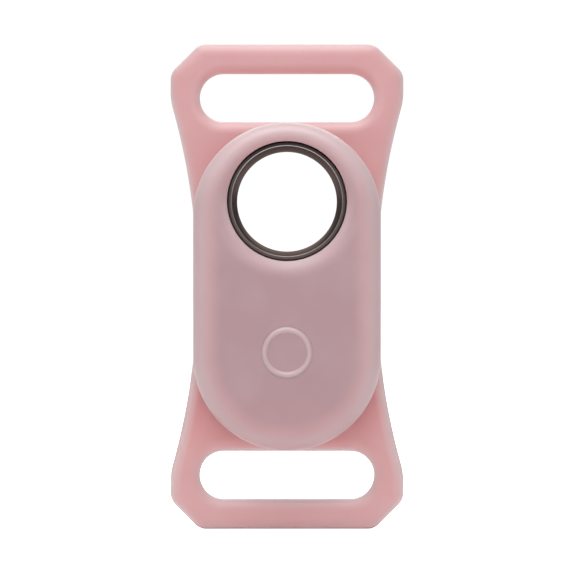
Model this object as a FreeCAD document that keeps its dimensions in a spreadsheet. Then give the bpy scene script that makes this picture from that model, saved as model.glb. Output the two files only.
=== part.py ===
import FreeCAD
import Part
import Sketcher
import math
import os
import re

# A soft sleeve that rides on a strap, with a ring-ended tracker tag in its pocket.
# Each piece is drawn lying on its back: X runs across, Y runs up the front view and
# Z rises from the back plane to the front. stand() then turns it upright, so that the
# front faces -Y. The origin is the middle of the back plane, where the strap runs.

Vector = FreeCAD.Vector
UP = Vector(0, 0, 1)

# Driving sizes in millimetres, angles in degrees
SIZES = {
    # Wings of the sleeve and their strap slots
    "slot_length": 29.5,
    "slot_height": 8.1,
    "slot_gap": 0.3,
    "end_bar": 5.05,
    "side_bar": 4.95,
    "corner_cut": 4.9,
    "corner_round": 2.5,
    "flank_length": 4.7,
    "waist_width": 30.4,
    "wing_depth": 3.2,
    "edge_round": 1.1,
    # Pod of the sleeve, which wraps the tag
    "pod_wall": 1.25,
    "front_wall": 1.2,
    "pocket_gap": 0.1,
    "lip_depth": 1.2,
    "lip_reach": 1.6,
    "lip_round": 0.4,
    "opening_gap": 0.2,
    "dish_width": 2.4,
    "dish_edge": 0.25,
    # Press pad in the pod's front wall
    "pad_radius": 4.3,
    "pad_gap": 0.1,
    "pad_web": 0.75,
    "pad_lift": 0.12,
    "pad_nub_inset": 0.35,
    "bead_inset": 0.13,
    "bead_width": 0.72,
    "bead_height": 0.35,
    # Two shells of the tag
    "tag_front_round": 2.1,
    "tag_rear_round": 1.6,
    "shell_wall": 1.1,
    "front_face": 1.0,
    "rear_face": 1.2,
    "seam_level": 3.6,
    "seam_seal_width": 0.3,
    "seam_seal_depth": 0.4,
    "seal_fit": 0.05,
    # Metal ring through the tag
    "ring_radius": 10.1,
    "ring_wall": 1.7,
    "ring_land": 3.2,
    "ring_mouth": 0.7,
    "ring_chamfer": 0.35,
    "ring_recess": 0.1,
    "ring_fit": 0.05,
    "ring_boss_wall": 1.1,
    "ring_end_gap": 1.83,
    "ring_door_gap": 2.77,
    "ring_groove_width": 0.8,
    "ring_groove_depth": 0.5,
    # Coin cell, its cradle and its contacts
    "cell_radius": 10.0,
    "cell_depth": 3.2,
    "cell_rim_depth": 0.2,
    "cell_rim_width": 1.2,
    "cell_edge_round": 0.4,
    "cell_clearance": 0.2,
    "cell_lift": 0.1,
    "cradle_gap": 0.15,
    "cradle_wall": 1.05,
    "cradle_lift": 0.25,
    "contact_room": 0.45,
    "contact_metal": 0.12,
    "contact_touch": 0.03,
    "leaf_width": 3.0,
    "leaf_foot": 3.5,
    "leaf_slope": 3.8,
    "leaf_finger": 0.8,
    "clip_width": 4.2,
    "clip_foot": 2.1,
    "clip_drop": 2.3,
    "clip_notch_gap": 0.3,
    # Twist door over the cell
    "door_wall": 0.65,
    "door_gap": 0.1,
    "door_flange_depth": 0.45,
    "door_seat_gap": 0.05,
    "door_plug_depth": 0.4,
    "door_margin": 0.4,
    "door_end_gap": 2.8,
    "door_turn": 30.0,
    "lug_reach": 0.55,
    "lug_depth": 0.6,
    "lug_lift": 0.1,
    "lug_angle": 28.0,
    "notch_angle": 32.0,
    "seal_land": 0.15,
    "door_seal_width": 0.4,
    "door_seal_depth": 0.37,
    "coin_slot_length": 14.0,
    "coin_slot_width": 1.8,
    "coin_slot_depth": 0.4,
    # Circuit board and the posts that hold it
    "board_depth": 0.8,
    "board_gap": 0.3,
    "board_top_gap": 0.6,
    "component_room": 1.6,
    "post_radius": 0.9,
    "upper_post_inset": 3.0,
    "upper_post_drop": 2.0,
    "lower_post_inset": 5.8,
    # Button of the tag and the switch below it
    "cap_radius": 4.15,
    "cap_gap": 0.1,
    "cap_flange": 0.7,
    "cap_flange_depth": 0.4,
    "cap_seat_gap": 0.03,
    "cap_edge_round": 0.25,
    "membrane_land": 0.65,
    "membrane_depth": 0.25,
    "nub_radius": 1.0,
    "nub_gap": 0.05,
    "switch_width": 4.6,
    "switch_depth": 0.35,
    "dome_radius": 2.0,
    "dome_height": 0.35,
    "dome_metal": 0.1,
    # Sounder under the front shell
    "piezo_gap": 0.2,
    "piezo_depth": 0.2,
    "ceramic_inset": 1.2,
    "ceramic_depth": 0.15,
    "spring_body_radius": 0.5,
    "spring_body_depth": 0.6,
    "spring_pin_radius": 0.3,
    "spring_inset": 0.6,
    # Chips on the board, placed from the board's sides and the cell's axis
    "shield_length": 9.0,
    "shield_width": 5.0,
    "shield_depth": 1.2,
    "shield_metal": 0.2,
    "shield_corner": 0.5,
    "shield_gap": 1.1,
    "radio_length": 6.0,
    "radio_width": 3.4,
    "radio_depth": 0.75,
    "aerial_length": 5.0,
    "aerial_width": 1.6,
    "aerial_depth": 1.0,
    "aerial_side_gap": 2.2,
    "aerial_edge_gap": 0.5,
    "sensor_width": 2.0,
    "sensor_depth": 0.8,
    "sensor_side_gap": 3.6,
    "sensor_rise": 4.0,
    "crystal_length": 2.5,
    "crystal_width": 2.0,
    "crystal_depth": 0.6,
    "crystal_side_gap": 3.35,
    "crystal_drop": 1.4,
    "capacitor_length": 1.0,
    "capacitor_width": 0.5,
    "capacitor_depth": 0.5,
    "capacitor_side_gap": 4.9,
    "capacitor_rise": 2.6,
    "capacitor_pitch": 1.1,
}

# Sizes and levels that follow from the driving ones, in the order they build on each other.
# Levels of the tag count from its own back face, those of the sleeve from the back plane.
FITS = {
    # Radii of the door, outwards from the cell
    "door_bore": "cell_radius + cell_clearance",
    "plug_radius": "door_bore + door_wall",
    "opening_radius": "plug_radius + door_gap",
    "lug_radius": "plug_radius + lug_reach",
    "notch_radius": "lug_radius + door_gap",
    "groove_inner": "notch_radius + seal_land",
    "groove_outer": "groove_inner + door_seal_width + 2 * seal_fit",
    "flange_radius": "groove_outer + seal_land",
    "recess_radius": "flange_radius + door_gap",
    # Pill outline of the tag
    "tag_radius": "recess_radius + door_margin + tag_rear_round",
    "tag_half": "ring_radius + recess_radius + (ring_end_gap + ring_door_gap + door_end_gap) / 2",
    "tag_span": "tag_half - tag_radius",
    "cavity_radius": "tag_radius - shell_wall",
    "board_radius": "cavity_radius - board_gap",
    "ring_bore_radius": "ring_radius - ring_wall",
    "boss_bore": "ring_radius + ring_fit",
    "boss_radius": "boss_bore + ring_boss_wall",
    "ring_up": "tag_half - ring_end_gap - ring_radius",
    "cell_up": "door_end_gap + recess_radius - tag_half",
    # Levels in the tag
    "recess_level": "door_flange_depth + door_seat_gap",
    "web_level": "door_flange_depth + door_plug_depth",
    "lug_level": "rear_face + lug_lift",
    "door_level": "lug_level + lug_depth",
    "cell_level": "web_level + cell_lift",
    "cell_top": "cell_level + cell_depth",
    "cradle_level": "door_level + cradle_lift",
    "board_level": "cell_top + contact_room",
    "board_top": "board_level + board_depth",
    "face_level": "board_top + component_room",
    "tag_depth": "face_level + front_face",
    "membrane_level": "face_level - membrane_depth",
    "switch_top": "board_top + switch_depth",
    "dome_top": "switch_top + dome_height",
    "piezo_level": "face_level - piezo_depth",
    "ceramic_level": "piezo_level - ceramic_depth",
    # Button and sounder
    "flange_reach": "cap_radius + cap_flange",
    "counterbore_radius": "flange_reach + cap_gap",
    "membrane_radius": "counterbore_radius + membrane_land",
    "boss_bottom": "ring_up - boss_radius",
    "membrane_crest": "cell_up + membrane_radius",
    "piezo_up": "(boss_bottom + membrane_crest) / 2",
    "piezo_radius": "(boss_bottom - membrane_crest) / 2 - piezo_gap",
    "board_edge": "boss_bottom - board_top_gap",
    # Levels in the sleeve and outline of the pod and wings
    "tag_lift": "lip_depth + pocket_gap",
    "tag_front": "tag_lift + tag_depth",
    "pocket_front": "tag_front + pocket_gap",
    "pod_front": "pocket_front + front_wall",
    "pocket_radius": "tag_radius + pocket_gap",
    "pod_radius": "pocket_radius + pod_wall",
    "pod_edge_round": "tag_front_round + pocket_gap + front_wall",
    "wing_round": "min(edge_round; 0.45 * wing_depth)",
    "slot_radius": "slot_height / 2",
    "slot_up": "tag_span + pod_radius + slot_gap + slot_radius",
    "half_height": "slot_up + slot_radius + end_bar",
    "half_width": "slot_length / 2 + side_bar",
    "flank_end": "half_height - corner_cut - flank_length",
    "waist_depth": "half_width - waist_width / 2",
    "waist_arc": "(flank_end ^ 2 + waist_depth ^ 2) / (2 * waist_depth)",
    "opening_rim": "ring_radius + opening_gap",
    "dish_depth": "front_wall - dish_edge",
    "dish_arc": "(dish_width ^ 2 + dish_depth ^ 2) / (2 * dish_depth)",
    "bead_outer": "pad_radius - bead_inset",
    "bead_inner": "bead_outer - bead_width",
    "bead_arc": "(bead_width ^ 2 / 4 + bead_height ^ 2) / (2 * bead_height)",
}

OWNERS = {name: "Sizes." for name in SIZES} | {name: "Fits." for name in FITS}
LUG_COUNT = 3
FULL_TURN = 360.0
# How far a cutting tool runs past the face that it opens, and how close counts as the same place
PAST = "1"
TOUCH = 1e-6

doc = FreeCAD.newDocument("tracker_tag_holder")
sheet = doc.addObject("Spreadsheet::Sheet", "Sizes")
fits = doc.addObject("App::VarSet", "Fits")
pieces = []


def bound(text):
    """The expression with each size named in full, such as Sizes.cell_radius."""
    return re.sub(r"[a-z_]+", lambda word: OWNERS.get(word[0], "") + word[0], text)


def number(text):
    """The present value of an expression, for a sketch's first guess."""
    return float(sheet.evalExpression(bound(text)))


def fill_sheet():
    """Writes the driving sizes to the sheet and the sizes that follow to the variable set."""
    for row, (alias, size) in enumerate(SIZES.items(), start=1):
        sheet.set(f"A{row}", alias)
        sheet.set(f"B{row}", str(size))
        sheet.setAlias(f"B{row}", alias)
    for name, text in FITS.items():
        fits.addProperty("App::PropertyFloat", name, "Fits")
        fits.setExpression(name, bound(text))
    doc.recompute()


def new_body(label):
    """An empty body."""
    body = doc.addObject("PartDesign::Body", label)
    body.Label = label
    return body


def stand(piece, lift="0", across="0", up="0"):
    """Turns a piece upright, with its own origin lifted ahead of the back plane."""
    piece.Placement = FreeCAD.Placement(Vector(), FreeCAD.Rotation(Vector(1, 0, 0), 90))
    piece.setExpression("Placement.Base.x", bound(across))
    piece.setExpression("Placement.Base.y", bound(f"-({lift})"))
    piece.setExpression("Placement.Base.z", bound(up))
    return piece


def keep(piece, label):
    """Lists a finished sub-part under the name of its file."""
    piece.Label = label
    pieces.append(piece)
    return piece


def new_sketch(body, name, level="0", plane="XY_Plane"):
    """An empty sketch on one of the body's own planes, or a level ahead of it."""
    sketch = body.newObject("Sketcher::SketchObject", f"{body.Name}_{name}")
    origin_plane = next(f for f in body.Origin.OriginFeatures if f.Role == plane)
    sketch.AttachmentSupport = (origin_plane, [""])
    sketch.MapMode = "FlatFace"
    sketch.setExpression("AttachmentOffset.Base.z", bound(level))
    return sketch


def bind(sketch, name, kind, ends, text):
    """A named dimension in a sketch that follows an expression."""
    index = sketch.addConstraint(Sketcher.Constraint(kind, *ends, number(text)))
    sketch.renameConstraint(index, name)
    sketch.setExpression(f"Constraints.{name}", bound(text))


def pin(sketch, name, geometry, end, across, up):
    """Holds a point of a sketch at its place from the origin."""
    if across == "0":
        sketch.addConstraint(Sketcher.Constraint("PointOnObject", geometry, end, -2))
    else:
        bind(sketch, f"{name}_across", "DistanceX", (-1, 1, geometry, end), across)
    if up == "0":
        sketch.addConstraint(Sketcher.Constraint("PointOnObject", geometry, end, -1))
    else:
        bind(sketch, f"{name}_up", "DistanceY", (-1, 1, geometry, end), up)


def draw_circle(sketch, name, radius, across="0", up="0"):
    """A circle with its centre pinned."""
    centre = Vector(number(across), number(up), 0)
    circle = sketch.addGeometry(Part.Circle(centre, UP, number(radius)))
    bind(sketch, f"{name}_radius", "Radius", (circle,), radius)
    pin(sketch, name, circle, 3, across, up)


def draw_pill(sketch, name, radius, span, up="0", lying=False):
    """A pill outline: two half circles whose centres lie a span either side of the middle."""
    reach = number(span)
    rise = number(up)
    size = number(radius)
    way = Vector(1, 0, 0) if lying else Vector(0, 1, 0)
    side = Vector(0, 1, 0) if lying else Vector(-1, 0, 0)
    middle = Vector(0, rise, 0)
    start = 1.5 * math.pi if lying else 0.0
    far_circle = Part.Circle(middle + way * reach, UP, size)
    near_circle = Part.Circle(middle - way * reach, UP, size)
    far = sketch.addGeometry(Part.ArcOfCircle(far_circle, start, start + math.pi))
    near = sketch.addGeometry(Part.ArcOfCircle(near_circle, start + math.pi, start + 2 * math.pi))
    left = sketch.addGeometry(Part.LineSegment(far_circle.Center + side * size,
                                               near_circle.Center + side * size))
    right = sketch.addGeometry(Part.LineSegment(near_circle.Center - side * size,
                                                far_circle.Center - side * size))
    ring = (far, left, near, right)
    for index, edge in enumerate(ring):
        following = ring[(index + 1) % len(ring)]
        sketch.addConstraint(Sketcher.Constraint("Tangent", edge, 2, following, 1))
    sketch.addConstraint(Sketcher.Constraint("Equal", far, near))
    mirror_axis = -2 if lying else -1
    sketch.addConstraint(Sketcher.Constraint("Symmetric", far, 3, near, 3, mirror_axis))
    bind(sketch, f"{name}_radius", "Radius", (far,), radius)
    if lying:
        pin(sketch, name, far, 3, span, up)
    else:
        pin(sketch, name, far, 3, "0", span)


def draw_sector(sketch, name, inner, outer, start, end):
    """A piece of a flat ring about the origin, between two angles in degrees."""
    angles = [math.radians(number(start)), math.radians(number(end))]
    arcs = []
    for side, radius in (("inner", inner), ("outer", outer)):
        circle = Part.Circle(Vector(), UP, number(radius))
        arc = sketch.addGeometry(Part.ArcOfCircle(circle, *angles))
        sketch.addConstraint(Sketcher.Constraint("Coincident", arc, 3, -1, 1))
        bind(sketch, f"{name}_{side}", "Radius", (arc,), radius)
        arcs.append(arc)
    for end_number, (angle, text) in enumerate(zip(angles, (start, end)), start=1):
        ray = Vector(math.cos(angle), math.sin(angle), 0)
        line = sketch.addGeometry(Part.LineSegment(ray * number(inner), ray * number(outer)))
        sketch.addConstraint(Sketcher.Constraint("Coincident", line, 1, arcs[0], end_number))
        sketch.addConstraint(Sketcher.Constraint("Coincident", line, 2, arcs[1], end_number))
        sketch.addConstraint(Sketcher.Constraint("PointOnObject", -1, 1, line))
        index = sketch.addConstraint(Sketcher.Constraint("Angle", line, angle))
        sketch.renameConstraint(index, f"{name}_angle_{end_number}")
        sketch.setExpression(f"Constraints.{name}_angle_{end_number}", bound(text))


def draw_path(sketch, name, points, arcs=None):
    """A closed outline through pinned points; arcs gives the radius of an edge that is round.

    A positive radius bends to the left of the way from its point to the next one.
    """
    arcs = arcs or {}
    places = [Vector(number(across), number(up), 0) for across, up in points]
    edges = []
    for index, place in enumerate(places):
        following = places[(index + 1) % len(places)]
        if index not in arcs:
            edges.append(sketch.addGeometry(Part.LineSegment(place, following)))
            continue
        text, bend = arcs[index]
        chord = following - place
        half = chord.Length / 2
        radius = number(text)
        sagitta = radius - math.sqrt(max(radius ** 2 - half ** 2, 0.0))
        crown = (place + following) / 2 + Vector(-chord.y, chord.x, 0).normalize() * sagitta * bend
        edges.append(sketch.addGeometry(Part.Arc(place, crown, following)))
    for index, edge in enumerate(edges):
        following = (index + 1) % len(edges)
        is_arc = index in arcs
        # An arc runs anticlockwise, so its end is its first point where it bends to the left
        last = 1 if is_arc and arcs[index][1] > 0 else 2
        first = 2 if following in arcs and arcs[following][1] > 0 else 1
        sketch.addConstraint(Sketcher.Constraint("Coincident", edge, last, edges[following], first))
        pin(sketch, f"{name}_{following}", edges[following], first, *points[following])
        if is_arc:
            bind(sketch, f"{name}_arc_{index}", "Radius", (edge,), arcs[index][0])


def draw_box(sketch, name, length, width, across="0", up="0"):
    """A rectangle about a centre."""
    left = f"({across}) - ({length}) / 2"
    right = f"({across}) + ({length}) / 2"
    low = f"({up}) - ({width}) / 2"
    high = f"({up}) + ({width}) / 2"
    draw_path(sketch, name, [(left, low), (right, low), (right, high), (left, high)])


def pad(body, sketch, depth):
    """Raises a sketch towards the front."""
    feature = body.newObject("PartDesign::Pad", f"{sketch.Name}_pad")
    feature.Profile = sketch
    feature.setExpression("Length", bound(depth))
    doc.recompute()
    return feature


def cut(body, sketch, depth):
    """Cuts a sketch out of the body, from the sketch towards the front."""
    before = body.Shape.Volume
    feature = body.newObject("PartDesign::Pocket", f"{sketch.Name}_cut")
    feature.Profile = sketch
    feature.Reversed = True
    feature.setExpression("Length", bound(depth))
    doc.recompute()
    if not body.Shape.Volume < before:
        raise RuntimeError(f"{feature.Name} cuts nothing")
    return feature


def revolve(body, sketch):
    """Turns a sketch on the body's XZ plane about the way to the front."""
    feature = body.newObject("PartDesign::Revolution", f"{sketch.Name}_turn")
    feature.Profile = sketch
    feature.ReferenceAxis = (sketch, ["V_Axis"])
    feature.Angle = FULL_TURN
    doc.recompute()
    return feature


def round_edges(body, name, radius, wanted):
    """Rounds the edges of the body that the test picks."""
    base = body.Tip
    names = [f"Edge{i}" for i, edge in enumerate(base.Shape.Edges, start=1) if wanted(edge)]
    feature = body.newObject("PartDesign::Fillet", f"{body.Name}_{name}")
    feature.Base = (base, names)
    feature.setExpression("Radius", bound(radius))
    doc.recompute()
    return feature


def lies_at(*levels):
    """A test for edges that lie flat at one of these levels."""
    heights = [number(level) for level in levels]

    def wanted(edge):
        box = edge.BoundBox
        return any(abs(box.ZMin - h) < TOUCH and abs(box.ZMax - h) < TOUCH for h in heights)

    return wanted


def stands_upright(edge):
    """A test for straight edges that run from back to front."""
    box = edge.BoundBox
    return box.ZLength > TOUCH and box.XLength < TOUCH and box.YLength < TOUCH


def pill_body(label, level, depth, radius, span):
    """A body of a single pill-shaped slab."""
    body = new_body(label)
    sketch = new_sketch(body, "outline", level)
    draw_pill(sketch, "pill", radius, span)
    pad(body, sketch, depth)
    return body


def turned_body(label, points, arcs=None):
    """A body turned about its own axis from a profile of radii and levels."""
    body = new_body(label)
    sketch = new_sketch(body, "profile", plane="XZ_Plane")
    draw_path(sketch, "profile", points, arcs)
    revolve(body, sketch)
    return body


def cut_circle(body, name, level, depth, radius, across="0", up="0"):
    """Cuts a round hole."""
    sketch = new_sketch(body, name, level)
    draw_circle(sketch, name, radius, across, up)
    return cut(body, sketch, depth)


def block(name, length, width, depth):
    """A plain block with its corner at its own origin."""
    box = doc.addObject("Part::Box", name)
    box.setExpression("Length", bound(length))
    box.setExpression("Width", bound(width))
    box.setExpression("Height", bound(depth))
    return box


def rod(name, radius, depth, level="0", across="0", up="0"):
    """A plain cylinder that points to the front."""
    cylinder = doc.addObject("Part::Cylinder", name)
    cylinder.setExpression("Radius", bound(radius))
    cylinder.setExpression("Height", bound(depth))
    cylinder.setExpression("Placement.Base.x", bound(across))
    cylinder.setExpression("Placement.Base.y", bound(up))
    cylinder.setExpression("Placement.Base.z", bound(level))
    return cylinder


def join(kind, name, *shapes):
    """A boolean of several shapes, or a group of separate ones."""
    result = doc.addObject(kind, name)
    if kind == "Part::Cut":
        result.Base, result.Tool = shapes
    elif kind == "Part::Compound":
        result.Links = list(shapes)
    else:
        result.Shapes = list(shapes)
    return result


def tag_piece(piece, label, level="0", across="0", up="0"):
    """Seats a sub-part in the tag, at a level from the tag's back face."""
    return keep(stand(piece, f"tag_lift + {level}", across, up), label)


def make_wings():
    """The flat plate of the sleeve: cut corners, a drawn-in waist and two strap slots."""
    body = new_body("wings")
    outline = new_sketch(body, "outline")
    flat = "half_width - corner_cut"
    shoulder = "half_height - corner_cut"
    right_side = [(flat, "half_height"), ("half_width", shoulder), ("half_width", "flank_end")]
    lower_right = [(across, f"-({up})") for across, up in reversed(right_side)]
    lower_left = [(f"-({across})", f"-({up})") for across, up in right_side]
    upper_left = [(f"-({across})", up) for across, up in reversed(right_side)]
    waists = {2: ("waist_arc", -1), 8: ("waist_arc", -1)}
    draw_path(outline, "plate", right_side + lower_right + lower_left + upper_left, waists)
    pad(body, outline, "wing_depth")
    round_edges(body, "corners", "corner_round", stands_upright)
    slots = new_sketch(body, "slots")
    for name, up in (("upper", "slot_up"), ("lower", "-slot_up")):
        draw_pill(slots, name, "slot_radius", "slot_length / 2 - slot_radius", up, lying=True)
    cut(body, slots, "wing_depth")
    round_edges(body, "rounding", "wing_round", lies_at("0", "wing_depth"))
    return body


def make_sleeve():
    """The sleeve: wings and pod in one, less the pocket and the two openings in front."""
    pod = pill_body("pod", "0", "pod_front", "pod_radius", "tag_span")
    round_edges(pod, "front_round", "pod_edge_round", lies_at("pod_front"))
    round_edges(pod, "rear_round", "wing_round", lies_at("0"))
    pocket = pill_body("pocket", f"-{PAST}", f"pocket_front + {PAST}", "pocket_radius", "tag_span")
    round_edges(pocket, "front_round", "tag_front_round + pocket_gap", lies_at("pocket_front"))
    dish = turned_body(
        "ring_opening",
        [("0", f"pocket_front - {PAST}"), ("opening_rim", f"pocket_front - {PAST}"),
         ("opening_rim", "pocket_front + dish_edge"), ("opening_rim + dish_width", "pod_front"),
         ("opening_rim + dish_width", f"pod_front + {PAST}"), ("0", f"pod_front + {PAST}")],
        {2: ("dish_arc", 1)})
    dish.setExpression("Placement.Base.y", bound("ring_up"))
    pad_hole = rod("pad_hole", "pad_radius + pad_gap", f"front_wall + 2 * {PAST}",
                   f"pocket_front - {PAST}", up="cell_up")
    solid = join("Part::MultiFuse", "sleeve_solid", make_wings(), pod)
    hollow = join("Part::MultiFuse", "sleeve_hollow", pocket, dish, pad_hole)
    keep(stand(join("Part::Cut", "sleeve", solid, hollow)), "sleeve_body")


def make_rear_lip():
    """The thin lip of the sleeve that holds the tag in from behind."""
    body = pill_body("lip", "0", "lip_depth", "pocket_radius", "tag_span")
    window = new_sketch(body, "window")
    draw_pill(window, "window", "tag_radius - lip_reach", "tag_span")
    cut(body, window, "lip_depth")
    flat = lies_at("0", "lip_depth")
    window_side = number("tag_radius - lip_reach / 2")
    round_edges(body, "rounding", "lip_round",
                lambda edge: flat(edge) and max(edge.BoundBox.XMax, -edge.BoundBox.XMin) < window_side)
    keep(stand(body), "sleeve_rear_lip")


def make_press_pad():
    """The pad in the sleeve's front wall: a disc with a raised bead and a nub behind it."""
    nub = "pad_radius - pad_nub_inset - pad_gap"
    nub_level = "tag_front + pad_lift"
    web_level = "pod_front - pad_web"
    body = turned_body(
        "pad",
        [("0", nub_level), (nub, nub_level), (nub, web_level), ("pad_radius", web_level),
         ("pad_radius", "pod_front"), ("bead_outer", "pod_front"), ("bead_inner", "pod_front"),
         ("0", "pod_front")],
        {5: ("bead_arc", -1)})
    keep(stand(body, up="cell_up"), "press_pad")


def make_cavity(name, level, depth):
    """The hollow of one shell: it ends at the middle of the ring and leaves the ring's boss standing."""
    body = pill_body(f"{name}_cavity", level, depth, "cavity_radius", "tag_span")
    if name == "front":
        round_edges(body, "round", "tag_front_round - shell_wall", lies_at("face_level"))
    top = new_sketch(body, "top", level)
    draw_box(top, "top", "2 * tag_radius", "2 * tag_radius", up="ring_up + tag_radius")
    cut(body, top, depth)
    cut_circle(body, "boss", level, depth, "boss_radius", up="ring_up")
    return body


def make_front_shell():
    """The front half of the tag: ring boss, board posts and the hole for the button."""
    body = pill_body("front", "seam_level", "tag_depth - seam_level", "tag_radius", "tag_span")
    round_edges(body, "outer_round", "tag_front_round", lies_at("tag_depth"))
    cavity = make_cavity("front", "seam_level", "face_level - seam_level")
    lower = "cavity_radius - lower_post_inset"
    for row, across, up in (
            ("upper", "cavity_radius - upper_post_inset", "cell_up + cell_radius - upper_post_drop"),
            ("lower", lower, f"cell_up - ({lower})")):
        for side, sign in (("left", "-"), ("right", "")):
            cut_circle(cavity, f"{row}_{side}_post", "board_top", "component_room",
                       "post_radius", f"{sign}({across})", up)
    ring_hole = rod("front_ring_hole", "boss_bore", "tag_depth", "seam_level - front_face", up="ring_up")
    button_hole = rod("button_hole", "cap_radius + cap_gap", "2 * front_face", "face_level", up="cell_up")
    counterbore = rod("counterbore", "counterbore_radius",
                      "component_room + cap_flange_depth + 2 * cap_seat_gap", "board_top", up="cell_up")
    hollow = join("Part::MultiFuse", "front_hollow", cavity, ring_hole, button_hole, counterbore)
    tag_piece(join("Part::Cut", "front_hollowed", body, hollow), "front_shell")


def make_rear_shell():
    """The rear half of the tag: ring boss, seam groove and the seat of the twist door."""
    body = pill_body("rear", "0", "seam_level", "tag_radius", "tag_span")
    round_edges(body, "outer_round", "tag_rear_round", lies_at("0"))
    cut_circle(body, "recess", "0", "recess_level", "recess_radius", up="cell_up")
    cut_circle(body, "opening", "0", "seam_level", "opening_radius", up="cell_up")
    groove = new_sketch(body, "door_groove", "recess_level")
    draw_circle(groove, "inner", "groove_inner", up="cell_up")
    draw_circle(groove, "outer", "groove_outer", up="cell_up")
    cut(body, groove, "door_seal_depth")
    seam = new_sketch(body, "seam_groove", "seam_level - seam_seal_depth")
    middle = "tag_radius - shell_wall / 2"
    draw_pill(seam, "inner", f"{middle} - seam_seal_width / 2 - seal_fit", "tag_span")
    draw_pill(seam, "outer", f"{middle} + seam_seal_width / 2 + seal_fit", "tag_span")
    cut(body, seam, "seam_seal_depth")
    # The lugs of the door pass through these notches once it has turned to its open mark
    notches = new_body("notches")
    sketch = new_sketch(notches, "notch")
    draw_sector(sketch, "notch", "opening_radius - door_wall", "notch_radius",
                "90 - door_turn - notch_angle / 2", "90 - door_turn + notch_angle / 2")
    pattern_round(notches, pad(notches, sketch, "rear_face"))
    notches.setExpression("Placement.Base.y", bound("cell_up"))
    cavity = make_cavity("rear", "rear_face", "seam_level - rear_face")
    ring_hole = rod("rear_ring_hole", "boss_bore", "tag_depth", "-rear_face", up="ring_up")
    hollow = join("Part::MultiFuse", "rear_hollow", cavity, notches, ring_hole)
    tag_piece(join("Part::Cut", "rear_hollowed", body, hollow), "rear_shell")


def pattern_round(body, feature):
    """Repeats a feature about the body's own axis, once for each lug of the door."""
    body.AllowCompound = True
    pattern = body.newObject("PartDesign::PolarPattern", f"{feature.Name}_pattern")
    pattern.Originals = [feature]
    pattern.Axis = (next(f for f in body.Origin.OriginFeatures if f.Role == "Z_Axis"), [""])
    pattern.Angle = FULL_TURN
    pattern.Occurrences = LUG_COUNT
    body.Tip = pattern
    doc.recompute()


def make_seam_seal():
    """The thin gasket between the two shells."""
    middle = "tag_radius - shell_wall / 2"
    base = "seam_level - seam_seal_depth"
    body = pill_body("gasket", base, "seam_seal_depth", f"{middle} + seam_seal_width / 2", "tag_span")
    inside = new_sketch(body, "inside", base)
    draw_pill(inside, "inside", f"{middle} - seam_seal_width / 2", "tag_span")
    cut(body, inside, "seam_seal_depth")
    tag_piece(body, "seam_seal")


def make_hole_ring():
    """The metal ring through the tag: a plain land in the middle that flares to both faces."""
    low = "ring_recess"
    high = "tag_depth - ring_recess"
    middle = "tag_depth / 2"
    throat = "ring_bore_radius"
    mouth = "ring_bore_radius + ring_mouth"
    rim = f"{mouth} + ring_chamfer"
    floor = "ring_radius - ring_groove_depth"
    flare = f"({middle} - ring_land / 2 - ring_recess - ring_chamfer)"
    flare_arc = f"(ring_mouth ^ 2 + {flare} ^ 2) / (2 * ring_mouth)"
    groove_low = "seam_level - ring_groove_width / 2"
    groove_high = "seam_level + ring_groove_width / 2"
    body = turned_body(
        "ring",
        [(rim, low), ("ring_radius", low), ("ring_radius", groove_low), (floor, groove_low),
         (floor, groove_high), ("ring_radius", groove_high), ("ring_radius", high), (rim, high),
         (mouth, f"{high} - ring_chamfer"), (throat, f"{middle} + ring_land / 2"),
         (throat, f"{middle} - ring_land / 2"), (mouth, f"{low} + ring_chamfer")],
        {8: (flare_arc, 1), 10: (flare_arc, 1)})
    tag_piece(body, "hole_ring", up="ring_up")
    seal = doc.addObject("Part::Torus", "ring_cord")
    seal.setExpression("Radius1", bound("(boss_bore + ring_radius - ring_groove_depth) / 2"))
    seal.setExpression("Radius2", bound("(boss_bore - ring_radius + ring_groove_depth) / 2"))
    tag_piece(seal, "ring_seal", "seam_level", up="ring_up")


def make_battery_door():
    """The twist door: a flanged cup with three lugs outside and a coin slot across its back."""
    body = turned_body(
        "door",
        [("0", "0"), ("flange_radius", "0"), ("flange_radius", "door_flange_depth"),
         ("plug_radius", "door_flange_depth"), ("plug_radius", "door_level"),
         ("door_bore", "door_level"), ("door_bore", "web_level"), ("0", "web_level")])
    sketch = new_sketch(body, "lug", "lug_level")
    draw_sector(sketch, "lug", "plug_radius - door_wall / 2", "lug_radius",
                "90 - lug_angle / 2", "90 + lug_angle / 2")
    pattern_round(body, pad(body, sketch, "lug_depth"))
    slot = new_sketch(body, "coin_slot")
    draw_pill(slot, "slot", "coin_slot_width / 2", "(coin_slot_length - coin_slot_width) / 2", lying=True)
    cut(body, slot, "coin_slot_depth")
    tag_piece(body, "battery_door", up="cell_up")
    inner = "groove_inner + seal_fit"
    outer = f"{inner} + door_seal_width"
    top = "recess_level + door_seal_depth - seal_fit"
    seal = turned_body("door_cord", [(inner, "door_flange_depth"), (outer, "door_flange_depth"),
                                     (outer, top), (inner, top)])
    tag_piece(seal, "door_seal", up="cell_up")


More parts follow.
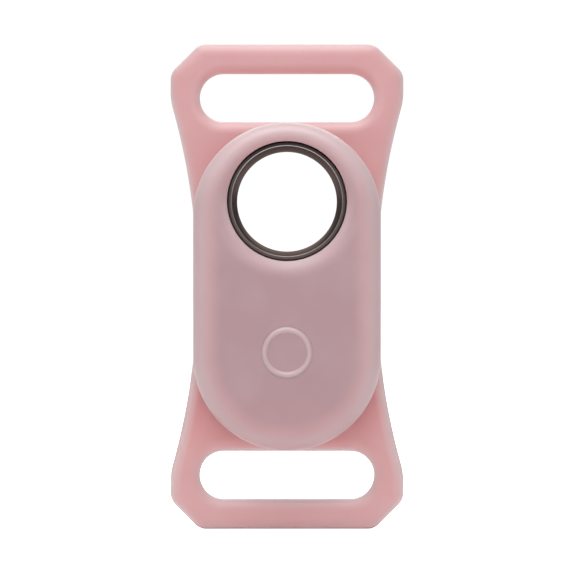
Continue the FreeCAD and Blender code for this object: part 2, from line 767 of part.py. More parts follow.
def make_coin_cell():
    """The cell: a can with a stepped cap, and the plastic cradle round it."""
    step = "cell_depth - cell_rim_depth"
    cap = "cell_radius - cell_rim_width"
    body = turned_body(
        "cell",
        [("0", "0"), ("cell_radius - cell_edge_round", "0"), ("cell_radius", "cell_edge_round"),
         ("cell_radius", step), (cap, step), (cap, "cell_depth"), ("0", "cell_depth")],
        {1: ("cell_edge_round", -1)})
    tag_piece(body, "coin_cell", "cell_level", up="cell_up")
    inner = "cell_radius + cradle_gap"
    outer = f"{inner} + cradle_wall"
    height = "board_level - cradle_level"
    cradle = turned_body("cradle", [(inner, "0"), (outer, "0"), (outer, height), (inner, height)])
    notch = new_sketch(cradle, "notch")
    # Twice the wall each way reaches through it
    draw_box(notch, "notch", "4 * cradle_wall", "clip_width + 2 * clip_notch_gap", inner)
    cut(cradle, notch, height)
    tag_piece(cradle, "battery_cradle", "cradle_level", up="cell_up")


def strip_body(label, points, width):
    """A bent metal strip: a profile across and forward, given its width."""
    body = new_body(label)
    sketch = new_sketch(body, "profile", f"-({width}) / 2", plane="XZ_Plane")
    draw_path(sketch, "strip", points)
    pad(body, sketch, width)
    return body


def make_contacts():
    """The two contacts of the cell: a leaf on its cap and a clip at its side."""
    room = "contact_room"
    under = "contact_room - contact_metal"
    low = "contact_touch"
    high = "contact_touch + contact_metal"
    slope_end = "-leaf_slope / 2"
    tip = f"{slope_end} - leaf_finger"
    bend = "leaf_slope / 2"
    foot = f"{bend} + leaf_foot"
    leaf = strip_body("leaf", [(tip, low), (slope_end, low), (bend, under), (foot, under),
                               (foot, room), (bend, room), (slope_end, high), (tip, high)], "leaf_width")
    tag_piece(leaf, "negative_contact", "cell_top", up="cell_up")
    inner = "cell_radius + contact_touch"
    outer = f"{inner} + contact_metal"
    end = f"{inner} + clip_foot"
    clip = strip_body("clip", [(inner, "-clip_drop"), (outer, "-clip_drop"), (outer, "-contact_metal"),
                               (end, "-contact_metal"), (end, "0"), (inner, "0")], "clip_width")
    tag_piece(clip, "positive_contact", "board_level", up="cell_up")


def make_board():
    """The circuit board, which fills the tag below the ring."""
    body = pill_body("board", "board_level", "board_depth", "board_radius", "tag_span")
    top = new_sketch(body, "top", "board_level")
    reach = "2 * tag_radius"
    draw_box(top, "top", reach, reach, up="board_edge + tag_radius")
    cut(body, top, "board_depth")
    tag_piece(body, "main_board")


def make_button():
    """The button of the tag, the membrane behind it and the snap switch on the board."""
    height = "front_face - cap_seat_gap"
    edge = "cap_radius - cap_edge_round"
    cap = turned_body(
        "cap",
        [("0", "0"), ("flange_reach", "0"), ("flange_reach", "cap_flange_depth"),
         ("cap_radius", "cap_flange_depth"), ("cap_radius", f"{height} - cap_edge_round"),
         (edge, height), ("0", height)],
        {4: ("cap_edge_round", -1)})
    tag_piece(cap, "button_cap", "face_level + cap_seat_gap", up="cell_up")
    tip = "dome_top + nub_gap"
    membrane = turned_body(
        "membrane",
        [("0", tip), ("nub_radius", tip), ("nub_radius", "membrane_level"),
         ("membrane_radius", "membrane_level"), ("membrane_radius", "face_level"), ("0", "face_level")])
    tag_piece(membrane, "button_membrane", up="cell_up")
    base = block("switch_block", "switch_width", "switch_width", "switch_depth")
    tag_piece(base, "switch_base", "board_top", "-switch_width / 2", "cell_up - switch_width / 2")
    inner_foot = "dome_radius - dome_metal"
    inner_top = "dome_height - dome_metal"
    dome = turned_body(
        "dome",
        [(inner_foot, "0"), ("dome_radius", "0"), ("0", "dome_height"), ("0", inner_top)],
        {1: ("(dome_radius ^ 2 + dome_height ^ 2) / (2 * dome_height)", -1),
         3: (f"(({inner_foot}) ^ 2 + ({inner_top}) ^ 2) / (2 * ({inner_top}))", 1)})
    tag_piece(dome, "snap_dome", "switch_top", up="cell_up")


def make_sounder():
    """The sounder: a metal disc with a ceramic disc behind it and two sprung pins."""
    ceramic_radius = "piezo_radius - ceramic_inset"
    tag_piece(rod("piezo_disc", "piezo_radius", "piezo_depth"), "piezo_plate", "piezo_level", up="piezo_up")
    tag_piece(rod("ceramic_disc", ceramic_radius, "ceramic_depth"), "piezo_ceramic",
              "ceramic_level", up="piezo_up")
    pins = []
    for name, across, end in (("inner", "0", "ceramic_level"),
                              ("outer", "piezo_radius - spring_inset", "piezo_level")):
        barrel = rod(f"{name}_barrel", "spring_body_radius", "spring_body_depth", across=across)
        plunger = rod(f"{name}_plunger", "spring_pin_radius", f"{end} - board_top", across=across)
        pins.append(join("Part::MultiFuse", f"{name}_pin", barrel, plunger))
    tag_piece(join("Part::Compound", "pins", *pins), "piezo_springs", "board_top", up="piezo_up")


def make_radio():
    """The radio: its chip under a metal can, below the button."""
    up = "cell_up - membrane_radius - shield_gap - shield_width / 2"
    body = new_body("can")
    outline = new_sketch(body, "outline")
    draw_box(outline, "can", "shield_length", "shield_width")
    pad(body, outline, "shield_depth")
    round_edges(body, "corners", "shield_corner", stands_upright)
    inside = new_sketch(body, "inside")
    draw_box(inside, "inside", "shield_length - 2 * shield_metal", "shield_width - 2 * shield_metal")
    cut(body, inside, "shield_depth - shield_metal")
    tag_piece(body, "shield_can", "board_top", up=up)
    chip = block("radio_block", "radio_length", "radio_width", "radio_depth")
    tag_piece(chip, "radio_chip", "board_top", "-radio_length / 2", f"{up} - radio_width / 2")


def make_small_chips():
    """The aerial, motion sensor, crystal and capacitors on the front of the board."""
    aerial = block("aerial_block", "aerial_length", "aerial_width", "aerial_depth")
    tag_piece(aerial, "chip_aerial", "board_top", "board_radius - aerial_side_gap - aerial_length",
              "board_edge - aerial_edge_gap - aerial_width")
    sensor = block("sensor_block", "sensor_width", "sensor_width", "sensor_depth")
    tag_piece(sensor, "motion_sensor", "board_top", "sensor_side_gap - board_radius",
              "cell_up + sensor_rise - sensor_width / 2")
    crystal = block("crystal_block", "crystal_length", "crystal_width", "crystal_depth")
    tag_piece(crystal, "crystal", "board_top", "crystal_side_gap - board_radius",
              "cell_up - crystal_drop - crystal_width / 2")
    row = []
    for index, name in enumerate(("first", "second", "third", "fourth")):
        capacitor = block(f"{name}_capacitor", "capacitor_length", "capacitor_width", "capacitor_depth")
        capacitor.setExpression("Placement.Base.y", bound(f"{index} * capacitor_pitch"))
        row.append(capacitor)
    tag_piece(join("Part::Compound", "capacitor_row", *row), "board_capacitors", "board_top",
              "board_radius - capacitor_side_gap - capacitor_length", "cell_up + capacitor_rise")


def check_and_write():
    """Stops on any failed feature or bad solid, then writes one file for each sub-part."""
    doc.recompute()
    failed = [o.Name for o in doc.Objects if {"Invalid", "Error"} & set(o.State)]
    bad = [p.Label for p in pieces if p.Shape.isNull() or not p.Shape.isValid() or not p.Shape.Solids]
    if failed or bad:
        raise RuntimeError(f"failed features {failed}, bad sub-parts {bad}")
    os.makedirs("parts", exist_ok=True)
    for piece in pieces:
        piece.Shape.exportStep(f"parts/{piece.Label}.step")
        box = piece.Shape.BoundBox
        print(f"{piece.Label}: {len(piece.Shape.Solids)} solid(s), {piece.Shape.Volume:.1f} mm3, "
              f"{box.XLength:.2f} x {box.YLength:.2f} x {box.ZLength:.2f} mm")


fill_sheet()
make_sleeve()
make_rear_lip()
make_press_pad()
make_front_shell()
make_rear_shell()
make_seam_seal()
make_hole_ring()
make_battery_door()
make_coin_cell()
make_contacts()
make_board()
make_button()
make_sounder()
make_radio()
make_small_chips()
check_and_write()
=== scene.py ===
"""Dresses the tracker tag holder: a soft silicone sleeve for a strap with a ring-ended tag in it.

Shapes are worked out in millimetres, lying on their backs: X runs across, Y up the front view
and Z from the back plane to the front. The function upright turns them into the frame's metres.
"""

import logging
import math
from dataclasses import dataclass
from enum import Enum
from typing import Any, Callable, Optional, Sequence, Union

import bmesh
import bpy
from mathutils import Matrix, Vector

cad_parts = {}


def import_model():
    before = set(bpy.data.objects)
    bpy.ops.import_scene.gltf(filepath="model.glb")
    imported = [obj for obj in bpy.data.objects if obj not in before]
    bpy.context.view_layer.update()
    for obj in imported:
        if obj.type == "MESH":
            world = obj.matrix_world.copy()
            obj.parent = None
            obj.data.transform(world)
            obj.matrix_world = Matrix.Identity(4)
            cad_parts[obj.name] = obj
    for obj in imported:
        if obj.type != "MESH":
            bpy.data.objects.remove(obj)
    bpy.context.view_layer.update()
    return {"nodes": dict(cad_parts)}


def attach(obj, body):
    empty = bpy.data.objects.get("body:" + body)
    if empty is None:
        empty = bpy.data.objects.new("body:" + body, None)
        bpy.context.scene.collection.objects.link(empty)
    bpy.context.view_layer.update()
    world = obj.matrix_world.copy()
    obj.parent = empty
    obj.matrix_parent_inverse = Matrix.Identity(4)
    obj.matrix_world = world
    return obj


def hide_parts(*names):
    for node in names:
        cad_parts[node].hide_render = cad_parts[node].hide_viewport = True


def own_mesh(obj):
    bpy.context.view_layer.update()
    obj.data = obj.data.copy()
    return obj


LOG = logging.getLogger("tracker_tag_holder")
MILLIMETRE = 0.001
UPRIGHT = Matrix.Rotation(math.pi / 2, 4, "X") @ Matrix.Scale(MILLIMETRE, 4)
WELD_GAP = 1e-5
MATCH_GAP = 1e-3
NOISE_MIDDLE = 0.5
RING_UP = 14.27
BUTTON_UP = -11.0

Colour = tuple[float, float, float]
Place = tuple[float, float, float]
Point = tuple[float, float]
Rule = Callable[[Vector], Vector]
Link = Union["Value", bpy.types.NodeSocket, float, Sequence[float]]


class Carve(Enum):
    """How one solid works on another."""

    JOIN = "UNION"
    CUT = "DIFFERENCE"


class Grain(Enum):
    """The fine pattern of a finish, as how many times finer each axis counts."""

    MOULDED = (1.0, 1.0, 1.0)
    BRUSHED = (0.08, 1.0, 1.0)


class Value:
    """A number that varies over a surface, for use in Python sums."""

    def __init__(self, nodes: "Nodes", socket: bpy.types.NodeSocket) -> None:
        """Wraps an output socket of a tree."""
        self.nodes = nodes
        self.socket = socket

    def math(self, operation: str, other: Optional[Link] = None, flip: bool = False) -> "Value":
        """Adds a Math node.

        Args:
            operation: the node's operation.
            other: the second operand, if it takes one.
            flip: puts the other operand first.

        Returns:
            The node's result.
        """
        operands = [self] if other is None else [self, other]
        if flip:
            operands.reverse()
        node = self.nodes.add("ShaderNodeMath", {"operation": operation}, dict(enumerate(operands)))
        return Value(self.nodes, node.outputs[0])

    def __add__(self, other: Link) -> "Value":
        """The sum."""
        return self.math("ADD", other)

    def __radd__(self, other: Link) -> "Value":
        """The sum, from the right."""
        return self.math("ADD", other)

    def __sub__(self, other: Link) -> "Value":
        """The difference."""
        return self.math("SUBTRACT", other)

    def __rsub__(self, other: Link) -> "Value":
        """The difference, from the right."""
        return self.math("SUBTRACT", other, flip=True)

    def __mul__(self, other: Link) -> "Value":
        """The product."""
        return self.math("MULTIPLY", other)

    def __rmul__(self, other: Link) -> "Value":
        """The product, from the right."""
        return self.math("MULTIPLY", other)

    def __abs__(self) -> "Value":
        """The size without its sign."""
        return self.math("ABSOLUTE")

    def root(self) -> "Value":
        """The square root."""
        return self.math("SQRT")

    def at_least(self, limit: Link) -> "Value":
        """The larger of this and a limit."""
        return self.math("MAXIMUM", limit)

    def at_most(self, limit: Link) -> "Value":
        """The smaller of this and a limit."""
        return self.math("MINIMUM", limit)

    def hypot(self, other: "Value") -> "Value":
        """The length over this side and another at right angles to it."""
        return (self * self + other * other).root()

    def ramp(self, start: float, end: float) -> "Value":
        """A soft step.

        Args:
            start: where the step is 0.
            end: where the step is 1, on either side of the start.

        Returns:
            The step, from 0 to 1.
        """
        limits = {"Value": self, "From Min": min(start, end), "From Max": max(start, end)}
        node = self.nodes.add("ShaderNodeMapRange", {"interpolation_type": "SMOOTHSTEP"}, limits)
        step = Value(self.nodes, node.outputs[0])
        return step if end > start else 1.0 - step


class Nodes:
    """A node tree, in which one method makes every node."""

    def __init__(self, tree: bpy.types.NodeTree) -> None:
        """Wraps the tree of a material or of the world."""
        self.tree = tree

    def add(self, kind: str, settings: dict[str, Any], inputs: dict[Any, Link]) -> bpy.types.Node:
        """Adds a node.

        Args:
            kind: the node's type.
            settings: its own properties, set before its sockets.
            inputs: values or links for its sockets, by name or number.

        Returns:
            The node.
        """
        node = self.tree.nodes.new(kind)
        for name, setting in settings.items():
            setattr(node, name, setting)
        for name, link in inputs.items():
            self.feed(node.inputs[name], link)
        return node

    def feed(self, socket: bpy.types.NodeSocket, link: Link) -> None:
        """Sets a socket to a value, or links it.

        Args:
            socket: the input.
            link: a number, a vector, a colour without its alpha, or an output to link.
        """
        source = link.socket if isinstance(link, Value) else link
        if isinstance(source, bpy.types.NodeSocket):
            self.tree.links.new(source, socket)
        else:
            socket.default_value = (*source, 1.0) if socket.type == "RGBA" else source


class Shader(Nodes):
    """A material's nodes, built up around one Principled shader."""

    def __init__(self, name: str) -> None:
        """Starts a material.

        Args:
            name: of the material.
        """
        self.material = bpy.data.materials.new(name)
        self.material.use_nodes = True
        super().__init__(self.material.node_tree)
        self.surface = next(node for node in self.tree.nodes if node.type == "BSDF_PRINCIPLED")

    def dress(self, inputs: dict[str, Link]) -> None:
        """Sets or links sockets of the surface by their names."""
        for name, link in inputs.items():
            self.feed(self.surface.inputs[name], link)

    def place(self, stretch: Sequence[float] = Grain.MOULDED.value) -> bpy.types.NodeSocket:
        """The point on the piece in millimetres.

        Args:
            stretch: how many times finer each axis counts.

        Returns:
            The point as a vector socket.
        """
        point = self.add("ShaderNodeTexCoord", {}, {}).outputs["Object"]
        scale = [side / MILLIMETRE for side in stretch]
        node = self.add("ShaderNodeVectorMath", {"operation": "MULTIPLY"}, {0: point, 1: scale})
        return node.outputs[0]

    def split(self, vector: bpy.types.NodeSocket) -> list[Value]:
        """The three parts of a vector."""
        return [Value(self, part) for part in self.add("ShaderNodeSeparateXYZ", {}, {0: vector}).outputs]

    def axes(self) -> tuple[Value, Value, Value]:
        """The point's place across, forward and up, in millimetres."""
        across, back, up = self.split(self.place())
        return across, 0.0 - back, up

    def facing(self) -> list[Value]:
        """How far the surface faces across, back and up, each from -1 to 1."""
        return self.split(self.add("ShaderNodeTexCoord", {}, {}).outputs["Normal"])

    def noise(self, scale: float, detail: float = 3.0, stretch: Sequence[float] = Grain.MOULDED.value,
              at: Optional[Link] = None) -> Value:
        """Soft noise about 0.5.

        Args:
            scale: blobs to the millimetre.
            detail: how many finer layers it has.
            stretch: how many times finer each axis counts.
            at: another place to read it at.

        Returns:
            The noise.
        """
        place = self.place(stretch) if at is None else at
        node = self.add("ShaderNodeTexNoise", {}, {"Vector": place, "Scale": scale, "Detail": detail})
        return Value(self, node.outputs[0])

    def mix(self, factor: Link, first: Link, second: Link) -> bpy.types.NodeSocket:
        """A blend of two colours, from the first at a factor of 0 to the second at 1."""
        # Sockets 6 and 7 and output 2 are the node's own for colours
        blend = {0: factor, 6: first, 7: second}
        return self.add("ShaderNodeMix", {"data_type": "RGBA"}, blend).outputs[2]

    def bump(self, height: Value, depth: float) -> None:
        """Roughens the surface with a pattern of that depth in millimetres."""
        node = self.add("ShaderNodeBump", {}, {"Height": height, "Distance": depth * MILLIMETRE})
        self.feed(self.surface.inputs["Normal"], node.outputs[0])


def shades(colour: Colour, drift: float) -> tuple[Colour, Colour]:
    """A darker and a lighter shade of a colour.

    Args:
        colour: the colour between them.
        drift: how far they lie from it, as a share.

    Returns:
        The darker shade and the lighter one.
    """
    darker = tuple(part * (1.0 - drift) for part in colour)
    lighter = tuple(min(part * (1.0 + drift), 1.0) for part in colour)
    return darker, lighter


@dataclass(frozen=True)
class Step:
    """A soft step along a measure, and how much of a colour it brings in."""

    start: float
    end: float
    share: float = 1.0

    def at(self, measure: Value) -> Value:
        """The share at a measure: 0 before the start and the whole of it past the end."""
        step = measure.ramp(self.start, self.end)
        return step if self.share == 1.0 else step * self.share


@dataclass(frozen=True)
class Finish:
    """A plain finish: one colour that drifts a little, with a fine grain."""

    name: str
    colour: Colour
    roughness: float
    drift: float
    grain_scale: float
    grain_depth: float
    metallic: float = 0.0
    grain: Grain = Grain.MOULDED
    grain_roughness: float = 0.25
    cloud_scale: float = 0.25
    cloud_share: float = 0.6
    cloud_roughness: float = 0.08

    def material(self) -> bpy.types.Material:
        """The finish as a material.

        Returns:
            The material.
        """
        shader = Shader(self.name)
        grain = shader.noise(self.grain_scale, stretch=self.grain.value)
        cloud = shader.noise(self.cloud_scale)
        pattern = cloud * self.cloud_share + grain * (1.0 - self.cloud_share)
        matt = self.roughness + (grain - NOISE_MIDDLE) * self.grain_roughness
        shader.dress({
            "Base Color": shader.mix(pattern, *shades(self.colour, self.drift)),
            "Roughness": matt + (cloud - NOISE_MIDDLE) * self.cloud_roughness,
            "Metallic": self.metallic,
        })
        shader.bump(grain, self.grain_depth)
        return shader.material


@dataclass(frozen=True)
class Metal(Finish):
    """A bare metal with a brushed grain."""

    metallic: float = 1.0
    grain: Grain = Grain.BRUSHED


@dataclass(frozen=True)
class Spot:
    """Where a point of the sleeve lies, as values of one shader."""

    across: Value
    forward: Value
    up: Value
    reach: Value
    over_ring: Value
    dish: Value
    hollow: Value
    raised: Value


@dataclass(frozen=True)
class Silicone:
    """Soft matt silicone, pink in the wings and greyer where the dark tag shows through, with painted
    light and shade.
    """

    name: str = "soft_silicone"
    wing: Colour = (0.605, 0.295, 0.302)
    # Rim colours: partly the thin edges' own paleness, partly painted sheen
    wing_rim: Colour = (0.64, 0.5, 0.505)
    # Painted shade: deeper pink beside the pod and on the upper slot's downward faces
    foot: Colour = (0.59, 0.203, 0.21)
    # Deeper pink: the silicone's own tone at the tag's edge, and painted shade low on the pod and above
    # the ring
    blush_and_shade: Colour = (0.53, 0.2, 0.207)
    pod_edge: Colour = (0.53, 0.343, 0.358)
    pod_rim: Colour = (0.5, 0.375, 0.388)
    pod: Colour = (0.382, 0.227, 0.248)
    # Paler tone: for the random mottling, and as painted light in several places
    pale: Colour = (0.80, 0.66, 0.675)
    # Distance from the pod's middle line
    over_tag: Step = Step(14.6, 10.6)
    crown: Step = Step(11.8, 15.2)
    near_pod: Step = Step(24.0, 15.5)
    # Distance from the ring's centre, and from the middle line of the upper slot
    dish: Step = Step(13.4, 10.2)
    hollow: Step = Step(11.6, 10.2)
    by_slot: Step = Step(6.3, 5.7)
    # Way to the front
    raised: Step = Step(3.2, 6.4)
    # Height over the ring's centre
    # Painted shade in the hollow above the ring
    above_ring_shade: Step = Step(-2.0, 9.0, 0.4)
    # Painted light on the dish below the ring and in the hollow beside it
    dish_glow: Step = Step(-2.0, -9.0, 0.12)
    beside_top: Step = Step(3.0, -3.0, 0.22)
    beside_foot: Step = Step(-9.5, -5.0)
    crown_glow: Step = Step(-3.0, 7.0, 0.25)
    # Height over the middle of the sleeve
    # Painted shade towards the bottom of the pod
    pod_bottom_shade: Step = Step(-14.0, -26.0, 0.16)
    low_foot: Step = Step(5.0, -15.0, 0.5)
    low_crown: Step = Step(-14.0, -24.0, 0.24)
    low_flank: Step = Step(4.0, -14.0)
    flank_foot: Step = Step(-37.0, -31.0)
    wing_ends: Step = Step(29.0, 34.0)
    bottom: Step = Step(-30.0, -37.0)
    # How far the surface faces outwards, times the way across, and how far it faces up
    outwards: Step = Step(0.5, 4.0)
    downwards: Step = Step(-0.5, -0.95)
    lit: Step = Step(-0.5, 0.0)
    shaded: Step = Step(0.0, -0.5, 0.55)
    bottom_lit: Step = Step(0.0, 0.8, 0.25)
    # Shares of a colour
    dish_fade: float = 0.5
    edge_blush: float = 0.5
    bead_rise: float = 0.25
    bead_glow: float = 0.28
    foot_share: float = 0.2
    narrow_rim: float = 1.8
    broad_rim: float = 1.65
    rim_limit: float = 0.8
    pod_rim_loss: float = 0.4
    lit_glow: float = 0.6
    bottom_glow: float = 0.07
    cloud_floor: float = 0.4
    cloud_glow: float = 0.2
    # Patterns, in blobs to the millimetre, and the surface
    cloud_scale: float = 0.12
    patch_scale: float = 3.0
    grain_scale: float = 7.0
    ripple_scale: float = 1.1
    grain_share: float = 0.5
    bump_depth: float = 0.012
    roughness: float = 0.46
    patch_roughness: float = 0.08
    specular: float = 0.9
    sheen: float = 0.25
    sheen_roughness: float = 0.45
    scatter: float = 0.2
    scatter_radius: Colour = (1.0, 0.45, 0.4)
    scatter_scale: float = 0.0012

    def spot(self, shader: Shader) -> Spot:
        """The place of a point.

        Args:
            shader: the material's nodes.

        Returns:
            Its measures.
        """
        across, forward, up = shader.axes()
        over_ring = up - RING_UP
        ring_gap = across.hypot(over_ring)
        return Spot(
            across=across,
            forward=forward,
            up=up,
            reach=across.hypot((abs(up) - Pod.span).at_least(0.0)),
            over_ring=over_ring,
            dish=self.dish.at(ring_gap),
            hollow=self.hollow.at(ring_gap),
            raised=self.raised.at(forward),
        )

    def pod_colour(self, shader: Shader, spot: Spot) -> bpy.types.NodeSocket:
        """The colour of the pod, with the tag that shows through it, and painted light and shade round
        the ring, on the press pad's bead and towards the bottom.

        Args:
            shader: the material's nodes.
            spot: the place of the point.

        Returns:
            The colour as a socket.
        """
        over_tag = self.over_tag.at(spot.reach)
        colour = shader.mix(over_tag * (1.0 - spot.dish * self.dish_fade), self.pod_edge, self.pod)
        between = over_tag * (1.0 - over_tag) * (1.0 - spot.dish)
        # The band at the tag's edge is the silicone's own tone; the low share is painted shade, deeper
        # pink towards the pod's bottom
        colour = shader.mix(between * self.edge_blush + self.pod_bottom_shade.at(spot.up), colour, self.blush_and_shade)
        # Painted shade: deeper pink in the hollow above the ring
        colour = shader.mix(spot.hollow * self.above_ring_shade.at(spot.over_ring), colour, self.blush_and_shade)
        # Painted light: paler on the dish below the ring and in the hollow beside it
        beside = self.beside_top.at(spot.over_ring) * self.beside_foot.at(spot.over_ring)
        glow = spot.dish * self.dish_glow.at(spot.over_ring) + spot.hollow * beside
        colour = shader.mix(glow, colour, self.pale)
        # Painted highlight: paler on top of the press pad's bead
        bead = Step(Pod.front, Pod.front + self.bead_rise, self.bead_glow).at(spot.forward)
        return shader.mix(bead, colour, self.pale)

    def wing_colour(self, shader: Shader, spot: Spot) -> bpy.types.NodeSocket:
        """The colour of the wings, with painted shade beside the pod, deeper below it."""
        # Painted shade beside the pod, stronger towards the bottom
        low = self.foot_share + self.low_foot.at(spot.up)
        return shader.mix(self.near_pod.at(spot.reach) * low, self.wing, self.foot)

    def edged(self, shader: Shader, spot: Spot, colour: bpy.types.NodeSocket) -> bpy.types.NodeSocket:
        """A colour with paler rims, partly painted sheen; painted light at the bottom and on the upper
        slot's lower edge; painted shade on its upper edge.

        Args:
            shader: the material's nodes.
            spot: the place of the point.
            colour: the colour away from the edges.

        Returns:
            The colour as a socket.
        """
        side, turned, tilt = shader.facing()
        flat = 1.0 - spot.raised
        edge = 1.0 - abs(turned)
        narrow = edge * self.narrow_rim
        broad = edge.root() * self.broad_rim
        flank = self.outwards.at(side * spot.across) * flat
        flank = flank * self.low_flank.at(spot.up) * self.flank_foot.at(spot.up)
        limit = self.rim_limit - spot.raised * self.pod_rim_loss
        # Paler rims: partly the thin silicone's own paleness, partly painted sheen where the surface
        # turns from the front, left off downward faces at the wing ends
        rim = (narrow + (broad - narrow) * flank).at_most(limit) * (1.0 - spot.dish)
        past_end = (abs(spot.across) - Wings.slot_reach).at_least(0.0)
        by_slot = self.by_slot.at(past_end.hypot(spot.up - Wings.slot_up))
        lit = by_slot * self.lit.at(tilt) * flat
        underside = self.downwards.at(tilt) * self.wing_ends.at(abs(spot.up)).at_least(spot.raised)
        rim_colour = shader.mix(spot.raised, self.wing_rim, self.pod_rim)
        colour = shader.mix(rim * (1.0 - underside) * (1.0 - lit), colour, rim_colour)
        # Painted light on the upper slot's lower edge, and painted shade on its upper edge
        colour = shader.mix(lit * edge.root() * self.lit_glow, colour, self.pale)
        colour = shader.mix(by_slot * self.shaded.at(tilt), colour, self.foot)
        # Painted light: paler towards the bottom of the sleeve, more on its upward faces
        bottom = self.bottom.at(spot.up) * (self.bottom_glow + self.bottom_lit.at(tilt))
        return shader.mix(bottom, colour, self.pale)

    def colour(self, shader: Shader) -> bpy.types.NodeSocket:
        """The colour of the whole moulding.

        Args:
            shader: the material's nodes.

        Returns:
            The colour as a socket.
        """
        spot = self.spot(shader)
        colour = shader.mix(spot.raised, self.wing_colour(shader, spot), self.pod_colour(shader, spot))
        colour = self.edged(shader, spot, colour)
        # Painted shade on the pod's outer band towards the bottom, and painted light on it towards the
        # top
        crown = spot.raised * self.crown.at(spot.reach)
        colour = shader.mix(crown * self.low_crown.at(spot.up), colour, self.pod)
        colour = shader.mix(crown * self.crown_glow.at(spot.over_ring), colour, self.pale)
        cloud = shader.noise(self.cloud_scale)
        return shader.mix((cloud - self.cloud_floor).at_least(0.0) * self.cloud_glow, colour, self.pale)

    def material(self) -> bpy.types.Material:
        """The finish as a material.

        Returns:
            The material.
        """
        shader = Shader(self.name)
        patch = shader.noise(self.patch_scale)
        shader.dress({
            "Base Color": self.colour(shader),
            "Roughness": self.roughness + (patch - NOISE_MIDDLE) * self.patch_roughness,
            "Specular IOR Level": self.specular,
            "Sheen Weight": self.sheen,
            "Sheen Roughness": self.sheen_roughness,
            "Subsurface Weight": self.scatter,
            "Subsurface Radius": self.scatter_radius,
            "Subsurface Scale": self.scatter_scale,
        })
        grain = shader.noise(self.grain_scale, detail=2.0) * self.grain_share
        ripple = shader.noise(self.ripple_scale, detail=1.0) * (1.0 - self.grain_share)
        shader.bump(grain + ripple, self.bump_depth)
        return shader.material


@dataclass(frozen=True)
class RingMetal:
    """Dark plated metal, turned on a lathe, with a painted highlight along the lip's inner edge and
    painted shade on its wall and lip.
    """

    name: str = "dark_ring_metal"
    colour: Colour = (0.1, 0.073, 0.07)
    drift: float = 0.28
    # The colour of a painted highlight along the lip's inner edge
    edge: Colour = (0.48, 0.44, 0.44)
    lip: Colour = (0.105, 0.082, 0.078)
    # The colour of painted shade on the wall and the lip
    deep: Colour = (0.035, 0.025, 0.024)
    # Distance from the ring's centre
    on_lip: Step = Step(9.2, 9.45)
    edge_radius: float = 9.29
    edge_line: Step = Step(0.09, 0.03)
    # Height over the ring's centre
    # Painted shade on the wall towards its top and bottom, and painted shadow on the top of the lip
    # under the sleeve's rim
    wall_shade: Step = Step(3.0, 8.5, 0.55)
    lip_shadow: Step = Step(4.0, 9.0, 0.8)
    top_shine: Step = Step(1.0, 8.0, 0.4)
    # Shares of a colour
    turned_share: float = 0.7
    lip_turned: float = 0.5
    edge_shine: float = 0.25
    highlight_mottle: float = 0.4
    # Patterns and the surface
    turned_scale: float = 7.0
    turned_depth: float = 0.6
    worn_scale: float = 0.9
    bump_depth: float = 0.004
    roughness: float = 0.38
    turned_roughness: float = 0.14
    edge_polish: float = 0.1
    metallic: float = 0.85
    tint: Colour = (0.5, 0.44, 0.42)

    def material(self) -> bpy.types.Material:
        """The finish as a material.

        Returns:
            The material.
        """
        shader = Shader(self.name)
        across, forward, up = shader.axes()
        height = up - RING_UP
        radius = across.hypot(height)
        line = shader.add("ShaderNodeCombineXYZ", {}, {0: radius, 1: forward * self.turned_depth})
        turned = shader.noise(self.turned_scale, detail=2.0, at=line.outputs[0])
        worn = shader.noise(self.worn_scale)
        pattern = turned * self.turned_share + worn * (1.0 - self.turned_share)
        colour = shader.mix(pattern, *shades(self.colour, self.drift))
        on_lip = self.on_lip.at(radius)
        plain_lip = on_lip * (1.0 - self.lip_turned + turned * self.lip_turned)
        colour = shader.mix(plain_lip, colour, self.lip)
        # Painted shade: the wall darker towards its top and bottom, and the lip darker at its top as
        # under a shadow
        painted_shade = self.wall_shade.at(abs(height)) * (1.0 - on_lip) + self.lip_shadow.at(height) * on_lip
        colour = shader.mix(painted_shade, colour, self.deep)
        # Painted highlight: a thin bright line along the lip's inner edge, brighter towards the top and
        # varied by noise
        bright = self.edge_line.at(abs(radius - self.edge_radius))
        shine = bright * (self.edge_shine + self.top_shine.at(height) + worn * self.highlight_mottle)
        matt = self.roughness + (turned - NOISE_MIDDLE) * self.turned_roughness
        shader.dress({
            "Base Color": shader.mix(shine, colour, self.edge),
            "Roughness": matt - bright * self.edge_polish,
            "Metallic": self.metallic,
            "Specular Tint": self.tint,
        })
        shader.bump(turned, self.bump_depth)
        return shader.material


